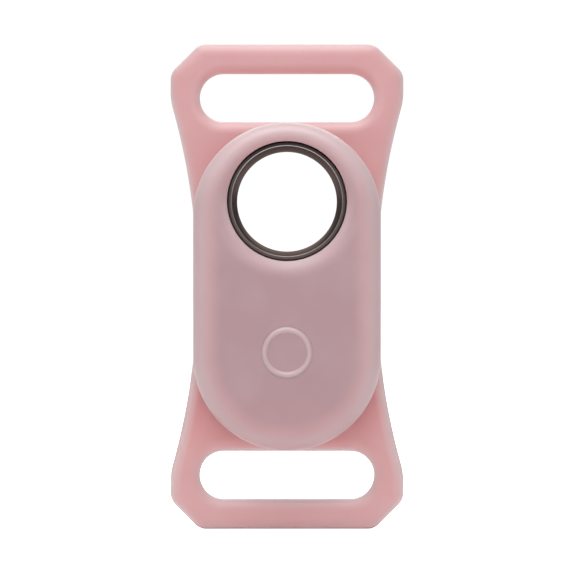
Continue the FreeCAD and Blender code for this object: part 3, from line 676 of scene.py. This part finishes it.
class Form:
    """A solid under construction, which becomes one named piece."""

    def __init__(self, name: str) -> None:
        """Starts an empty solid of that name."""
        self.name = name
        self.bm = bmesh.new()

    def pill(self, radius: float, span: float, level: float, turns: int = 128,
             steps: int = 1) -> bmesh.types.BMFace:
        """Starts from a flat pill.

        Args:
            radius: of its two round ends.
            span: from its middle to the centre of an end.
            level: where it lies.
            turns: corners on its two ends together.
            steps: pieces that its straight sides are cut into.

        Returns:
            The pill's face.
        """
        half_step = Matrix.Rotation(math.pi / turns, 4, "Z")
        made = bmesh.ops.create_circle(self.bm, segments=turns, radius=radius, matrix=half_step)
        for vert in made["verts"]:
            vert.co.y += math.copysign(span, vert.co.y)
            vert.co.z = level
        if steps > 1:
            sides = [e for e in self.bm.edges if abs(e.verts[0].co.y - e.verts[1].co.y) > span]
            bmesh.ops.subdivide_edges(self.bm, edges=sides, cuts=steps - 1)
        return bmesh.ops.contextual_create(self.bm, geom=self.bm.edges[:])["faces"][0]

    def raise_face(self, face: bmesh.types.BMFace, put: Rule) -> bmesh.types.BMFace:
        """Extrudes a face and puts each of its new corners in place.

        Args:
            face: the face that is drawn out.
            put: gives a corner's new place from its old one.

        Returns:
            The face at the new end.
        """
        made = bmesh.ops.extrude_face_region(self.bm, geom=[face, *face.edges])["geom"]
        for part in made:
            if isinstance(part, bmesh.types.BMVert):
                part.co = put(part.co)
        return next(part for part in made if isinstance(part, bmesh.types.BMFace))

    def raise_pill(self, face: bmesh.types.BMFace, span: float, rows: Sequence[Point]) -> None:
        """Draws a pill out row by row, each row given by its radius and its level."""
        for radius, level in rows:
            face = self.raise_face(face, lambda p, r=radius, z=level: ring_to(p, span, r, z))

    def turn(self, profile: Sequence[Point], steps: int = 160) -> None:
        """Spins a profile of radii and levels about the way to the front.

        Args:
            profile: the points of the section, closed if it ends where it began.
            steps: of the full turn.
        """
        verts = [self.bm.verts.new((radius, 0.0, level)) for radius, level in profile]
        edges = [self.bm.edges.new(pair) for pair in zip(verts, verts[1:])]
        bmesh.ops.spin(self.bm, geom=verts + edges, cent=(0, 0, 0), axis=(0, 0, 1), dvec=(0, 0, 0),
                       angle=2 * math.pi, steps=steps, use_merge=True)
        bmesh.ops.remove_doubles(self.bm, verts=self.bm.verts, dist=WELD_GAP)

    def lift(self, up: float) -> None:
        """Moves the whole solid up the front view."""
        bmesh.ops.translate(self.bm, verts=self.bm.verts, vec=(0.0, up, 0.0))

    def solid(self) -> bpy.types.Object:
        """Ends the construction.

        Returns:
            The solid as an object that still lies on its back, in millimetres.
        """
        bmesh.ops.recalc_face_normals(self.bm, faces=self.bm.faces)
        mesh = bpy.data.meshes.new(self.name)
        self.bm.to_mesh(mesh)
        self.bm.free()
        piece = bpy.data.objects.new(self.name, mesh)
        bpy.context.scene.collection.objects.link(piece)
        return piece


def upright(piece: bpy.types.Object, sharp: float = 40.0) -> bpy.types.Object:
    """Turns a lying solid upright and shades it.

    Args:
        piece: the solid, in millimetres.
        sharp: edges that turn by more than this many degrees stay crisp.

    Returns:
        The same piece, in the frame's metres.
    """
    piece.data.transform(UPRIGHT)
    piece.data.shade_smooth()
    piece.data.set_sharp_from_angle(angle=math.radians(sharp))
    return piece


def carve(base: bpy.types.Object, tool: bpy.types.Object, way: Carve) -> None:
    """Joins a tool to a solid or cuts it out, and removes the tool.

    Args:
        base: the solid that stays.
        tool: the solid that works on it.
        way: whether it is joined or cut.
    """
    modifier = base.modifiers.new("carve", "BOOLEAN")
    modifier.object = tool
    modifier.operation = way.value
    modifier.solver = "EXACT"
    graph = bpy.context.evaluated_depsgraph_get()
    mesh = bpy.data.meshes.new_from_object(base.evaluated_get(graph))
    base.modifiers.clear()
    base.data, old = mesh, base.data
    bpy.data.meshes.remove(old)
    bpy.data.objects.remove(tool)


def wear(piece: bpy.types.Object, material: bpy.types.Material) -> None:
    """Gives a piece one material all over."""
    piece.data.materials.clear()
    piece.data.materials.append(material)


def arc(radius: float, start: float, end: float, steps: int, centre: Point = (0.0, 0.0)) -> list[Point]:
    """Points of a round stretch of a section.

    Args:
        radius: of the arc.
        start: its first angle in degrees.
        end: its last angle in degrees.
        steps: how many edges it has.
        centre: what it turns about.

    Returns:
        Pairs of places along both axes.
    """
    angles = [math.radians(start + (end - start) * step / steps) for step in range(steps + 1)]
    return [(centre[0] + radius * math.cos(a), centre[1] + radius * math.sin(a)) for a in angles]


def spine_point(point: Vector, span: float) -> Vector:
    """The nearest point on the middle line of a pill with that span, at level 0."""
    return Vector((0.0, max(-span, min(span, point.y)), 0.0))


def ring_to(point: Vector, span: float, radius: float, level: float) -> Vector:
    """A corner of a pill, moved to another radius and level.

    Args:
        point: the corner.
        span: from the pill's middle to the centre of an end.
        radius: the new distance from its middle line.
        level: the new level.

    Returns:
        The corner's new place.
    """
    spine = spine_point(point, span)
    way = Vector((point.x, point.y, 0.0)) - spine
    return spine + way.normalized() * radius + Vector((0.0, 0.0, level))


@dataclass
class Wings:
    """The flat plate of the sleeve with its two strap slots."""

    half_width: float = 19.7
    half_height: float = 41.0
    corner_cut: float = 4.9
    corner_turn: float = 45.0
    corner_round: float = 2.5
    flank_end: float = 31.4
    flank_setback: float = 1.25
    waist: float = 15.2
    depth: float = 3.2
    rear_round: Point = (1.1, 1.1)
    front_round: Point = (2.2, 1.5)
    flat_inset: float = 0.05
    slot_up: float = 31.9
    slot_radius: float = 4.05
    slot_reach: float = 10.7
    slot_turns: int = 64
    waist_steps: int = 48
    bend_steps: int = 8
    edge_steps: int = 8

    def outline(self, form: Form) -> None:
        """Draws the outer edge: straight cut corners and two hollow sides.

        Args:
            form: the solid under construction.
        """
        flat = self.half_width - self.corner_cut
        shoulder = self.half_height - self.corner_cut
        drawn_in = self.half_width - self.waist
        bow = (self.flank_end ** 2 + drawn_in ** 2) / (2 * drawn_in)
        sweep = math.degrees(math.asin(self.flank_end / bow))
        side = [(self.waist + bow - a, b) for a, b in arc(bow, sweep, -sweep, self.waist_steps)]
        right = [(flat, self.half_height), (self.half_width, shoulder), *side,
                 (self.half_width, -shoulder), (flat, -self.half_height)]
        left = [(-across, -up) for across, up in right]
        verts = [form.bm.verts.new((across, up, self.rear_round[1])) for across, up in right + left]
        for pair in zip(verts, verts[1:] + verts[:1]):
            form.bm.edges.new(pair)
        corners = [v for v in verts if abs(v.co.y) > self.flank_end + MATCH_GAP]
        flank_ends = [v for v in verts if abs(abs(v.co.y) - self.flank_end) < MATCH_GAP]
        for bent, setback in ((corners, self.corner_setback()), (flank_ends, self.flank_setback)):
            bmesh.ops.bevel(form.bm, geom=bent, affect="VERTICES", offset=setback,
                            segments=self.bend_steps, profile=0.5, material=-1)

    def corner_setback(self) -> float:
        """How far from a cut corner its rounding starts."""
        return self.corner_round * math.tan(math.radians(self.corner_turn) / 2)

    def slot(self, form: Form, up: float) -> None:
        """Draws one strap slot.

        Args:
            form: the solid under construction.
            up: where the slot's middle is.
        """
        half_step = Matrix.Rotation(math.pi / self.slot_turns, 4, "Z")
        made = bmesh.ops.create_circle(form.bm, segments=self.slot_turns, radius=self.slot_radius,
                                       matrix=half_step)
        for vert in made["verts"]:
            vert.co.x += math.copysign(self.slot_reach, vert.co.x)
            vert.co += Vector((0.0, up, self.rear_round[1]))

    def build(self) -> bpy.types.Object:
        """Builds the plate.

        Returns:
            The plate as a solid, with rounded edges.
        """
        form = Form("wings")
        self.outline(form)
        for up in (self.slot_up, -self.slot_up):
            self.slot(form, up)
        filled = bmesh.ops.triangle_fill(form.bm, use_beauty=True, edges=form.bm.edges[:])
        faces = [part for part in filled["geom"] if isinstance(part, bmesh.types.BMFace)]
        bmesh.ops.recalc_face_normals(form.bm, faces=faces)
        if faces[0].normal.z > 0:
            bmesh.ops.reverse_faces(form.bm, faces=faces)
        made = bmesh.ops.extrude_face_region(form.bm, geom=faces)["geom"]
        top = [part for part in made if isinstance(part, bmesh.types.BMFace)]
        raised = [part for part in made if isinstance(part, bmesh.types.BMVert)]
        rise = self.depth - self.front_round[1] - self.rear_round[1]
        bmesh.ops.translate(form.bm, verts=raised, vec=(0.0, 0.0, rise))
        bmesh.ops.recalc_face_normals(form.bm, faces=form.bm.faces)
        self.round_over(form, faces, 0.0, self.rear_round)
        self.round_over(form, top, self.depth, self.front_round)
        return form.solid()

    def round_over(self, form: Form, cap: list[bmesh.types.BMFace], level: float, size: Point) -> None:
        """Rounds the edge of one flat side by insetting it step by step.

        Args:
            form: the solid under construction.
            cap: the faces of that side.
            level: where the flat side ends up.
            size: how far the rounding reaches in from the edge, and how deep.
        """
        start = cap[0].verts[0].co.z
        steps = [(size[0] * a, b) for a, b in arc(1.0, 0.0, 90.0, self.edge_steps)]
        rows = [(near - far, rise) for (near, _), (far, rise) in zip(steps, steps[1:])]
        for inset, rise in [*rows, (self.flat_inset, 1.0)]:
            bmesh.ops.inset_region(form.bm, faces=cap, thickness=inset, use_even_offset=True,
                                   use_boundary=True)
            for vert in {v for face in cap for v in face.verts}:
                vert.co.z = start + (level - start) * rise


@dataclass
class Pod:
    """The raised pod of the sleeve, which wraps the tag and dips round the ring."""

    span: float = 11.8
    radius: float = 15.75
    front: float = 10.6
    edge_round: float = 3.4
    rear_round: float = 1.1
    ring_up: float = RING_UP
    opening: float = 10.12
    dish_width: float = 2.7
    dish_arc: float = 4.31
    inner_reach: float = 13.15
    blind_level: float = 4.0
    wall_top: float = 7.2
    # Insets and drops of the rounded rim of the opening, and the inset of its wall
    rim_steps: Sequence[Point] = ((0.05, 0.03), (0.09, 0.1))
    wall_inset: float = 0.1
    turns: int = 144
    side_steps: int = 36
    rear_rows: int = 6
    edge_rows: int = 10
    dish_rows: int = 26
    crowding: float = 2.2
    search_steps: int = 40

    def centre(self) -> Vector:
        """The ring's centre, at level 0."""
        return Vector((0.0, self.ring_up, 0.0))

    def height(self, point: Vector) -> float:
        """The level of the front at a point: flat, rounded at the edge, dished at the ring.

        Args:
            point: a place in the front view, at level 0.

        Returns:
            The level there.
        """
        inset = max(self.radius - (point - spine_point(point, self.span)).length, 0.0)
        edge = max(self.edge_round - inset, 0.0)
        fall = self.edge_round - math.sqrt(max(self.edge_round ** 2 - edge ** 2, 0.0))
        return self.front - fall - self.dip(point)

    def dip(self, point: Vector) -> float:
        """How deep the dish is.

        Args:
            point: a place in the front view, at any level.

        Returns:
            The depth there.
        """
        gap = (point.xy - self.centre().xy).length - self.opening
        slope = max(self.dish_width - max(gap, 0.0), 0.0)
        return self.dish_arc - math.sqrt(self.dish_arc ** 2 - slope ** 2)

    def on_edge(self, point: Vector, radius: float, level: float) -> Vector:
        """A corner on the rounded edge, lowered where the dish reaches it.

        Args:
            point: the corner one row below.
            radius: its new distance from the pod's middle line.
            level: its level outside the dish.

        Returns:
            The corner's new place.
        """
        place = ring_to(point, self.span, radius, level)
        place.z -= self.dip(place) * min(max((level - self.wall_top) / self.edge_round, 0.0), 1.0)
        return place

    def towards_ring(self, share: float) -> Rule:
        """A rule that moves a corner towards the ring's opening.

        Args:
            share: of the way from the opening that is left, from 1 to 0.

        Returns:
            The rule, which works from the corner on the pod's inner edge.
        """

        def put(point: Vector) -> Vector:
            """Moves one corner.

            Args:
                point: its old place.

            Returns:
                Its new place.
            """
            way = (Vector((point.x, point.y, 0.0)) - self.centre()).normalized()
            start = self.edge_distance(way)
            place = self.centre() + way * (self.opening + (start - self.opening) * share)
            place.z = self.height(place)
            return place

        return put

    def edge_distance(self, way: Vector) -> float:
        """How far the pod's inner edge lies from the ring's centre.

        Args:
            way: the direction from the centre.

        Returns:
            The distance.
        """
        near, far = self.opening, 3 * self.radius
        for _ in range(self.search_steps):
            middle = (near + far) / 2
            place = self.centre() + way * middle
            inside = (place - spine_point(place, self.span)).length < self.inner_reach
            near, far = (middle, far) if inside else (near, middle)
        return near

    def in_hole(self, point: Vector, inset: float, level: float) -> Vector:
        """A corner of the rim, moved down the opening's wall to an inset and a level."""
        way = Vector((point.x, point.y, 0.0)) - self.centre()
        return self.centre() + way.normalized() * (self.opening - inset) + Vector((0.0, 0.0, level))

    def build(self) -> bpy.types.Object:
        """Builds the pod.

        Returns:
            The pod as a solid block with a blind hole for the ring.
        """
        form = Form("pod")
        rear_centre = (self.radius - self.rear_round, self.rear_round)
        rear = arc(self.rear_round, -90.0, 0.0, self.rear_rows, rear_centre)
        face = form.pill(rear[0][0], self.span, 0.0, self.turns, self.side_steps)
        crown = math.degrees(math.acos(1.0 - (self.radius - self.inner_reach) / self.edge_round))
        edge_centre = (self.radius - self.edge_round, self.front - self.edge_round)
        edge = arc(self.edge_round, 0.0, crown, self.edge_rows, edge_centre)
        for radius, level in rear[1:] + edge:
            face = form.raise_face(face, lambda p, r=radius, z=level: self.on_edge(p, r, z))
        for row in reversed(range(self.dish_rows)):
            face = form.raise_face(face, self.towards_ring((row / self.dish_rows) ** self.crowding))
        rim = self.front - self.dish_arc + math.sqrt(self.dish_arc ** 2 - self.dish_width ** 2)
        wall = [(inset, rim - drop) for inset, drop in self.rim_steps]
        for inset, level in [*wall, (self.wall_inset, self.blind_level)]:
            face = form.raise_face(face, lambda p, i=inset, z=level: self.in_hole(p, i, z))
        return form.solid()


@dataclass
class Sleeve:
    """The whole silicone sleeve, and the press pad in its front."""

    pocket_radius: float = 14.5
    pocket_front: float = 9.4
    pocket_round: float = 2.2
    pocket_rows: int = 8
    lip_depth: float = 1.2
    lip_radius: float = 12.8
    lip_round: float = 0.4
    lip_rows: int = 5
    lip_overcut: float = 0.5
    overcut: float = 1.0
    pad_up: float = BUTTON_UP
    pad_radius: float = 4.3
    pad_hole: float = 4.315
    pad_back: float = 9.42
    pad_web: float = 9.85
    pad_nub: float = 3.85
    pad_sharp: float = 60.0
    bead_middle: float = 3.74
    bead_half: float = 0.56
    bead_height: float = 0.35
    bead_steps: int = 16

    def pocket(self) -> bpy.types.Object:
        """Builds the room for the tag.

        Returns:
            The room as a cutting tool.
        """
        form = Form("pocket")
        face = form.pill(self.pocket_radius, Pod.span, self.lip_depth)
        centre = (self.pocket_radius - self.pocket_round, self.pocket_front - self.pocket_round)
        form.raise_pill(face, Pod.span, arc(self.pocket_round, 0.0, 90.0, self.pocket_rows, centre))
        return form.solid()

    def window(self) -> bpy.types.Object:
        """Builds the opening in the back, whose lip has rounded edges.

        Returns:
            The opening as a cutting tool.
        """
        form = Form("window")
        outer = self.lip_radius + self.lip_round
        face = form.pill(outer, Pod.span, -self.overcut)
        low = [(outer - a, b) for a, b in arc(self.lip_round, 0.0, 90.0, self.lip_rows)]
        high = [(radius, self.lip_depth - level) for radius, level in reversed(low)]
        form.raise_pill(face, Pod.span, [*low, *high, (outer, self.lip_depth + self.lip_overcut)])
        return form.solid()

    def hole(self) -> bpy.types.Object:
        """Builds the round hole for the pad.

        Returns:
            The hole as a cutting tool.
        """
        form = Form("pad_hole")
        low, high = self.pocket_front - self.overcut, Pod.front + self.overcut
        form.turn([(0.0, low), (self.pad_hole, low), (self.pad_hole, high), (0.0, high)])
        form.lift(self.pad_up)
        return form.solid()

    def build_sleeve(self) -> bpy.types.Object:
        """Builds the sleeve as one soft moulding.

        Returns:
            The finished piece.
        """
        sleeve = Pod().build()
        carve(sleeve, Wings().build(), Carve.JOIN)
        for tool in (self.pocket(), self.window(), self.hole()):
            carve(sleeve, tool, Carve.CUT)
        sleeve.name = "sleeve"
        return upright(sleeve)

    def build_pad(self) -> bpy.types.Object:
        """Builds the press pad with its raised bead.

        Returns:
            The finished piece.
        """
        form = Form("pad")
        front = Pod.front
        shares = [1.0 - 2.0 * step / self.bead_steps for step in range(self.bead_steps + 1)]
        bead = [(self.bead_middle + self.bead_half * share,
                 front + self.bead_height * (1.0 - share ** 2) ** 2) for share in shares]
        form.turn([(0.0, self.pad_back), (self.pad_nub, self.pad_back), (self.pad_nub, self.pad_web),
                   (self.pad_radius, self.pad_web), *bead, (0.0, front)])
        form.lift(self.pad_up)
        return upright(form.solid(), self.pad_sharp)

    def build(self) -> None:
        """Makes both pieces, dresses them and sets them on their bodies."""
        silicone = Silicone().material()
        sleeve, pad = self.build_sleeve(), self.build_pad()
        for piece, body, nodes in ((sleeve, "sleeve", ("sleeve_body", "sleeve_rear_lip")),
                                   (pad, "pad", ("press_pad",))):
            wear(piece, silicone)
            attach(piece, body)
            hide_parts(*nodes)
            LOG.info("%s: %d faces", piece.name, len(piece.data.polygons))


@dataclass
class Ring:
    """The dark metal ring that lines the tag's hole."""

    centre: float = RING_UP
    middle: float = 5.3
    # Radii, and distances from the middle of the ring's depth
    throat: Point = (8.4, 1.6)
    lip: Sequence[Point] = ((9.12, 3.72), (9.19, 3.83), (9.26, 3.88), (9.34, 3.9), (9.5, 3.89),
                            (9.74, 3.85), (9.95, 3.75), (10.1, 3.5))
    groove: Sequence[Point] = ((10.1, 0.0), (9.6, 0.0), (9.6, -0.8), (10.1, -0.8))
    turn_steps: int = 192
    sharp: float = 28.0

    def build(self) -> None:
        """Makes the ring, dresses it and sets it on the tag."""
        form = Form("ring")
        half = [self.throat, *self.lip]
        front = [(radius, self.middle + rise) for radius, rise in [*half, *self.groove]]
        rear = [(radius, self.middle - rise) for radius, rise in reversed(half)]
        form.turn([*front, *rear, front[0]], self.turn_steps)
        form.lift(self.centre)
        ring = upright(form.solid(), self.sharp)
        wear(ring, RingMetal().material())
        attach(ring, "tag")
        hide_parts("hole_ring")
        LOG.info("ring: %d faces", len(ring.data.polygons))


@dataclass
class Membrane:
    """The rubber membrane behind the tag's button, built at rest; the real one gives way as the button
    goes in.
    """

    rubber: Finish = Finish("membrane_rubber", (0.045, 0.045, 0.048), roughness=0.66, drift=0.2,
                            grain_scale=3.0, grain_depth=0.015)
    up: float = BUTTON_UP
    tip: float = 7.45
    rear: float = 8.05
    front: float = 8.3
    nub_radius: float = 1.0
    nub_round: float = 0.15
    nub_steps: int = 5
    radius: float = 5.6
    edge_round: float = 0.08
    edge_steps: int = 4
    pressed_share: float = 0.66
    turn_steps: int = 96

    def build(self) -> None:
        """Makes the membrane, dresses it and sets it on the tag."""
        form = Form("membrane")
        nub_centre = (self.nub_radius - self.nub_round, self.tip + self.nub_round)
        nub_end = arc(self.nub_round, -90.0, 0.0, self.nub_steps, nub_centre)
        edge = self.radius - self.edge_round
        rear_centre = (edge, self.rear + self.edge_round)
        front_centre = (edge, self.front - self.edge_round)
        rim = [*arc(self.edge_round, -90.0, 0.0, self.edge_steps, rear_centre),
               *arc(self.edge_round, 0.0, 90.0, self.edge_steps, front_centre)]
        profile = [(0.0, self.tip), *nub_end, (self.nub_radius, self.rear), *rim, (0.0, self.front)]
        form.turn(profile, self.turn_steps)
        form.lift(self.up)
        membrane = upright(form.solid())
        wear(membrane, self.rubber.material())
        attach(membrane, "tag")
        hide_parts("button_membrane")
        anchor = (0.0, -self.tip * MILLIMETRE, self.up * MILLIMETRE)
        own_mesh(membrane)
        LOG.info("membrane: %d faces", len(membrane.data.polygons))


@dataclass
class TagParts:
    """The pieces of the tag whose solids already have the right shape."""

    nodes: dict[str, bpy.types.Object]

    def finishes(self) -> dict[Finish, Sequence[str]]:
        """Chooses the finish of each piece.

        Returns:
            Which nodes have which finish.
        """
        return {
            Finish("case_plastic", (0.022, 0.022, 0.024), roughness=0.5, drift=0.35,
                   grain_scale=2.6, grain_depth=0.06): ("front_shell", "rear_shell"),
            Finish("door_plastic", (0.028, 0.028, 0.031), roughness=0.45, drift=0.3,
                   grain_scale=3.4, grain_depth=0.045): ("battery_door", "button_cap"),
            Finish("seal_rubber", (0.03, 0.03, 0.032), roughness=0.7, drift=0.2,
                   grain_scale=3.0, grain_depth=0.02): ("ring_seal", "seam_seal", "door_seal"),
            Metal("cell_steel", (0.6, 0.6, 0.58), roughness=0.27, drift=0.06,
                  grain_scale=5.0, grain_depth=0.004): ("coin_cell",),
            Finish("cradle_plastic", (0.32, 0.31, 0.28), roughness=0.5, drift=0.1,
                   grain_scale=4.0, grain_depth=0.012): ("battery_cradle", "switch_base"),
            Metal("contact_nickel", (0.56, 0.53, 0.47), roughness=0.28, drift=0.1,
                  grain_scale=6.0, grain_depth=0.003):
                ("negative_contact", "positive_contact", "snap_dome", "piezo_springs", "crystal"),
            Metal("sounder_brass", (0.52, 0.37, 0.16), roughness=0.34, drift=0.1,
                  grain_scale=4.0, grain_depth=0.004): ("piezo_plate",),
            Finish("board_mask", (0.012, 0.085, 0.045), roughness=0.38, drift=0.25,
                   grain_scale=2.0, grain_depth=0.02): ("main_board",),
            Finish("sounder_ceramic", (0.62, 0.58, 0.47), roughness=0.42, drift=0.08,
                   grain_scale=8.0, grain_depth=0.006): ("piezo_ceramic",),
            Metal("tinned_can", (0.62, 0.62, 0.6), roughness=0.33, drift=0.08,
                  grain_scale=7.0, grain_depth=0.004): ("shield_can",),
            Finish("chip_resin", (0.025, 0.026, 0.028), roughness=0.55, drift=0.2,
                   grain_scale=12.0, grain_depth=0.006): ("radio_chip", "motion_sensor"),
            Finish("chip_ceramic", (0.55, 0.44, 0.32), roughness=0.48, drift=0.12,
                   grain_scale=9.0, grain_depth=0.008): ("chip_aerial", "board_capacitors"),
        }

    def build(self) -> None:
        """Dresses each node."""
        for finish, names in self.finishes().items():
            material = finish.material()
            for name in names:
                wear(self.nodes[name], material)
                LOG.info("%s: %s", name, finish.name)


@dataclass(frozen=True)
class Lamp:
    """A square soft light aimed at the part: its place and side in metres, its power in watts."""

    name: str
    place: Place
    size: float
    power: float

    def hang(self) -> None:
        """Adds the light."""
        light = bpy.data.lights.new(self.name, "AREA")
        light.size, light.energy = self.size, self.power
        lamp = bpy.data.objects.new(self.name, light)
        lamp.location = self.place
        lamp.rotation_euler = (-Vector(self.place)).to_track_quat("-Z", "Y").to_euler()
        bpy.context.scene.collection.objects.link(lamp)


@dataclass
class Studio:
    """A pale floor, soft light and the camera, sizes in metres."""

    floor_level: float = -0.041
    floor_reach: float = 6.0
    floor_cells: int = 8
    floor_colour: Colour = (0.85, 0.85, 0.85)
    floor_cast: Colour = (0.2, 0.2, 0.2)
    floor_seen: Colour = (1.0, 1.0, 1.0)
    floor_glow: float = 0.9
    room_colour: Colour = (1.0, 1.0, 1.0)
    room_glow: float = 0.32
    backdrop_glow: float = 1.05
    lamps: Sequence[Lamp] = (
        Lamp("key_light", (-0.055, -0.26, 0.68), 0.7, 5.2),
        Lamp("fill_light", (0.0, -0.9, 0.25), 0.8, 1.35),
        Lamp("back_light", (0.0, 0.7, 0.5), 0.8, 3.4),
    )
    frame_width: float = 0.09646
    aim_across: float = -0.00008
    camera_away: float = 0.6
    aim_depth: float = -0.005
    sensor: float = 36.0
    clip: Point = (0.05, 50.0)

    def floor(self) -> None:
        """The floor that the part stands on, which looks white and throws light back as paper does."""
        form = bmesh.new()
        bmesh.ops.create_grid(form, x_segments=self.floor_cells, y_segments=self.floor_cells,
                              size=self.floor_reach)
        bmesh.ops.translate(form, verts=form.verts, vec=(0.0, 0.0, self.floor_level))
        mesh = bpy.data.meshes.new("floor")
        form.to_mesh(mesh)
        form.free()
        floor = bpy.data.objects.new("floor", mesh)
        bpy.context.scene.collection.objects.link(floor)
        shader = Shader("pale_floor")
        seen = shader.add("ShaderNodeLightPath", {}, {}).outputs["Is Camera Ray"]
        shader.dress({
            "Base Color": self.floor_colour,
            "Roughness": 1.0,
            "Specular IOR Level": 0.0,
            "Emission Color": shader.mix(seen, self.floor_cast, self.floor_seen),
            "Emission Strength": self.floor_glow,
        })
        wear(floor, shader.material)

    def sky(self) -> None:
        """White surroundings that fill the shadows."""
        world = bpy.data.worlds.new("white_room")
        bpy.context.scene.world = world
        world.use_nodes = True
        nodes = Nodes(world.node_tree)
        room, output = world.node_tree.nodes["Background"], world.node_tree.nodes["World Output"]
        backdrop = nodes.add("ShaderNodeBackground", {}, {})
        for light, glow in ((room, self.room_glow), (backdrop, self.backdrop_glow)):
            nodes.feed(light.inputs["Color"], self.room_colour)
            nodes.feed(light.inputs["Strength"], glow)
        seen = nodes.add("ShaderNodeLightPath", {}, {}).outputs["Is Camera Ray"]
        lights = {0: seen, 1: room.outputs[0], 2: backdrop.outputs[0]}
        blend = nodes.add("ShaderNodeMixShader", {}, lights)
        nodes.feed(output.inputs["Surface"], blend.outputs[0])

    def camera(self) -> None:
        """The camera, square in front of the part."""
        lens = bpy.data.cameras.new("front_camera")
        lens.sensor_width = self.sensor
        lens.lens = self.sensor * self.camera_away / self.frame_width
        lens.clip_start, lens.clip_end = self.clip
        camera = bpy.data.objects.new("front_camera", lens)
        camera.location = (self.aim_across, self.aim_depth - self.camera_away, 0.0)
        camera.rotation_euler = (math.pi / 2, 0.0, 0.0)
        bpy.context.scene.collection.objects.link(camera)
        bpy.context.scene.camera = camera

    def build(self) -> None:
        """Sets the stage."""
        self.floor()
        self.sky()
        for lamp in self.lamps:
            lamp.hang()
        self.camera()
        scene = bpy.context.scene
        scene.view_settings.view_transform = "Standard"
        scene.view_settings.look = "None"


def main() -> None:
    """Builds the studio and then every piece in order."""
    logging.basicConfig(level=logging.INFO, format="%(name)s %(message)s")
    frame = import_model()
    Studio().build()
    Sleeve().build()
    Ring().build()
    Membrane().build()
    TagParts(frame["nodes"]).build()


if __name__ == "__main__":
    main()
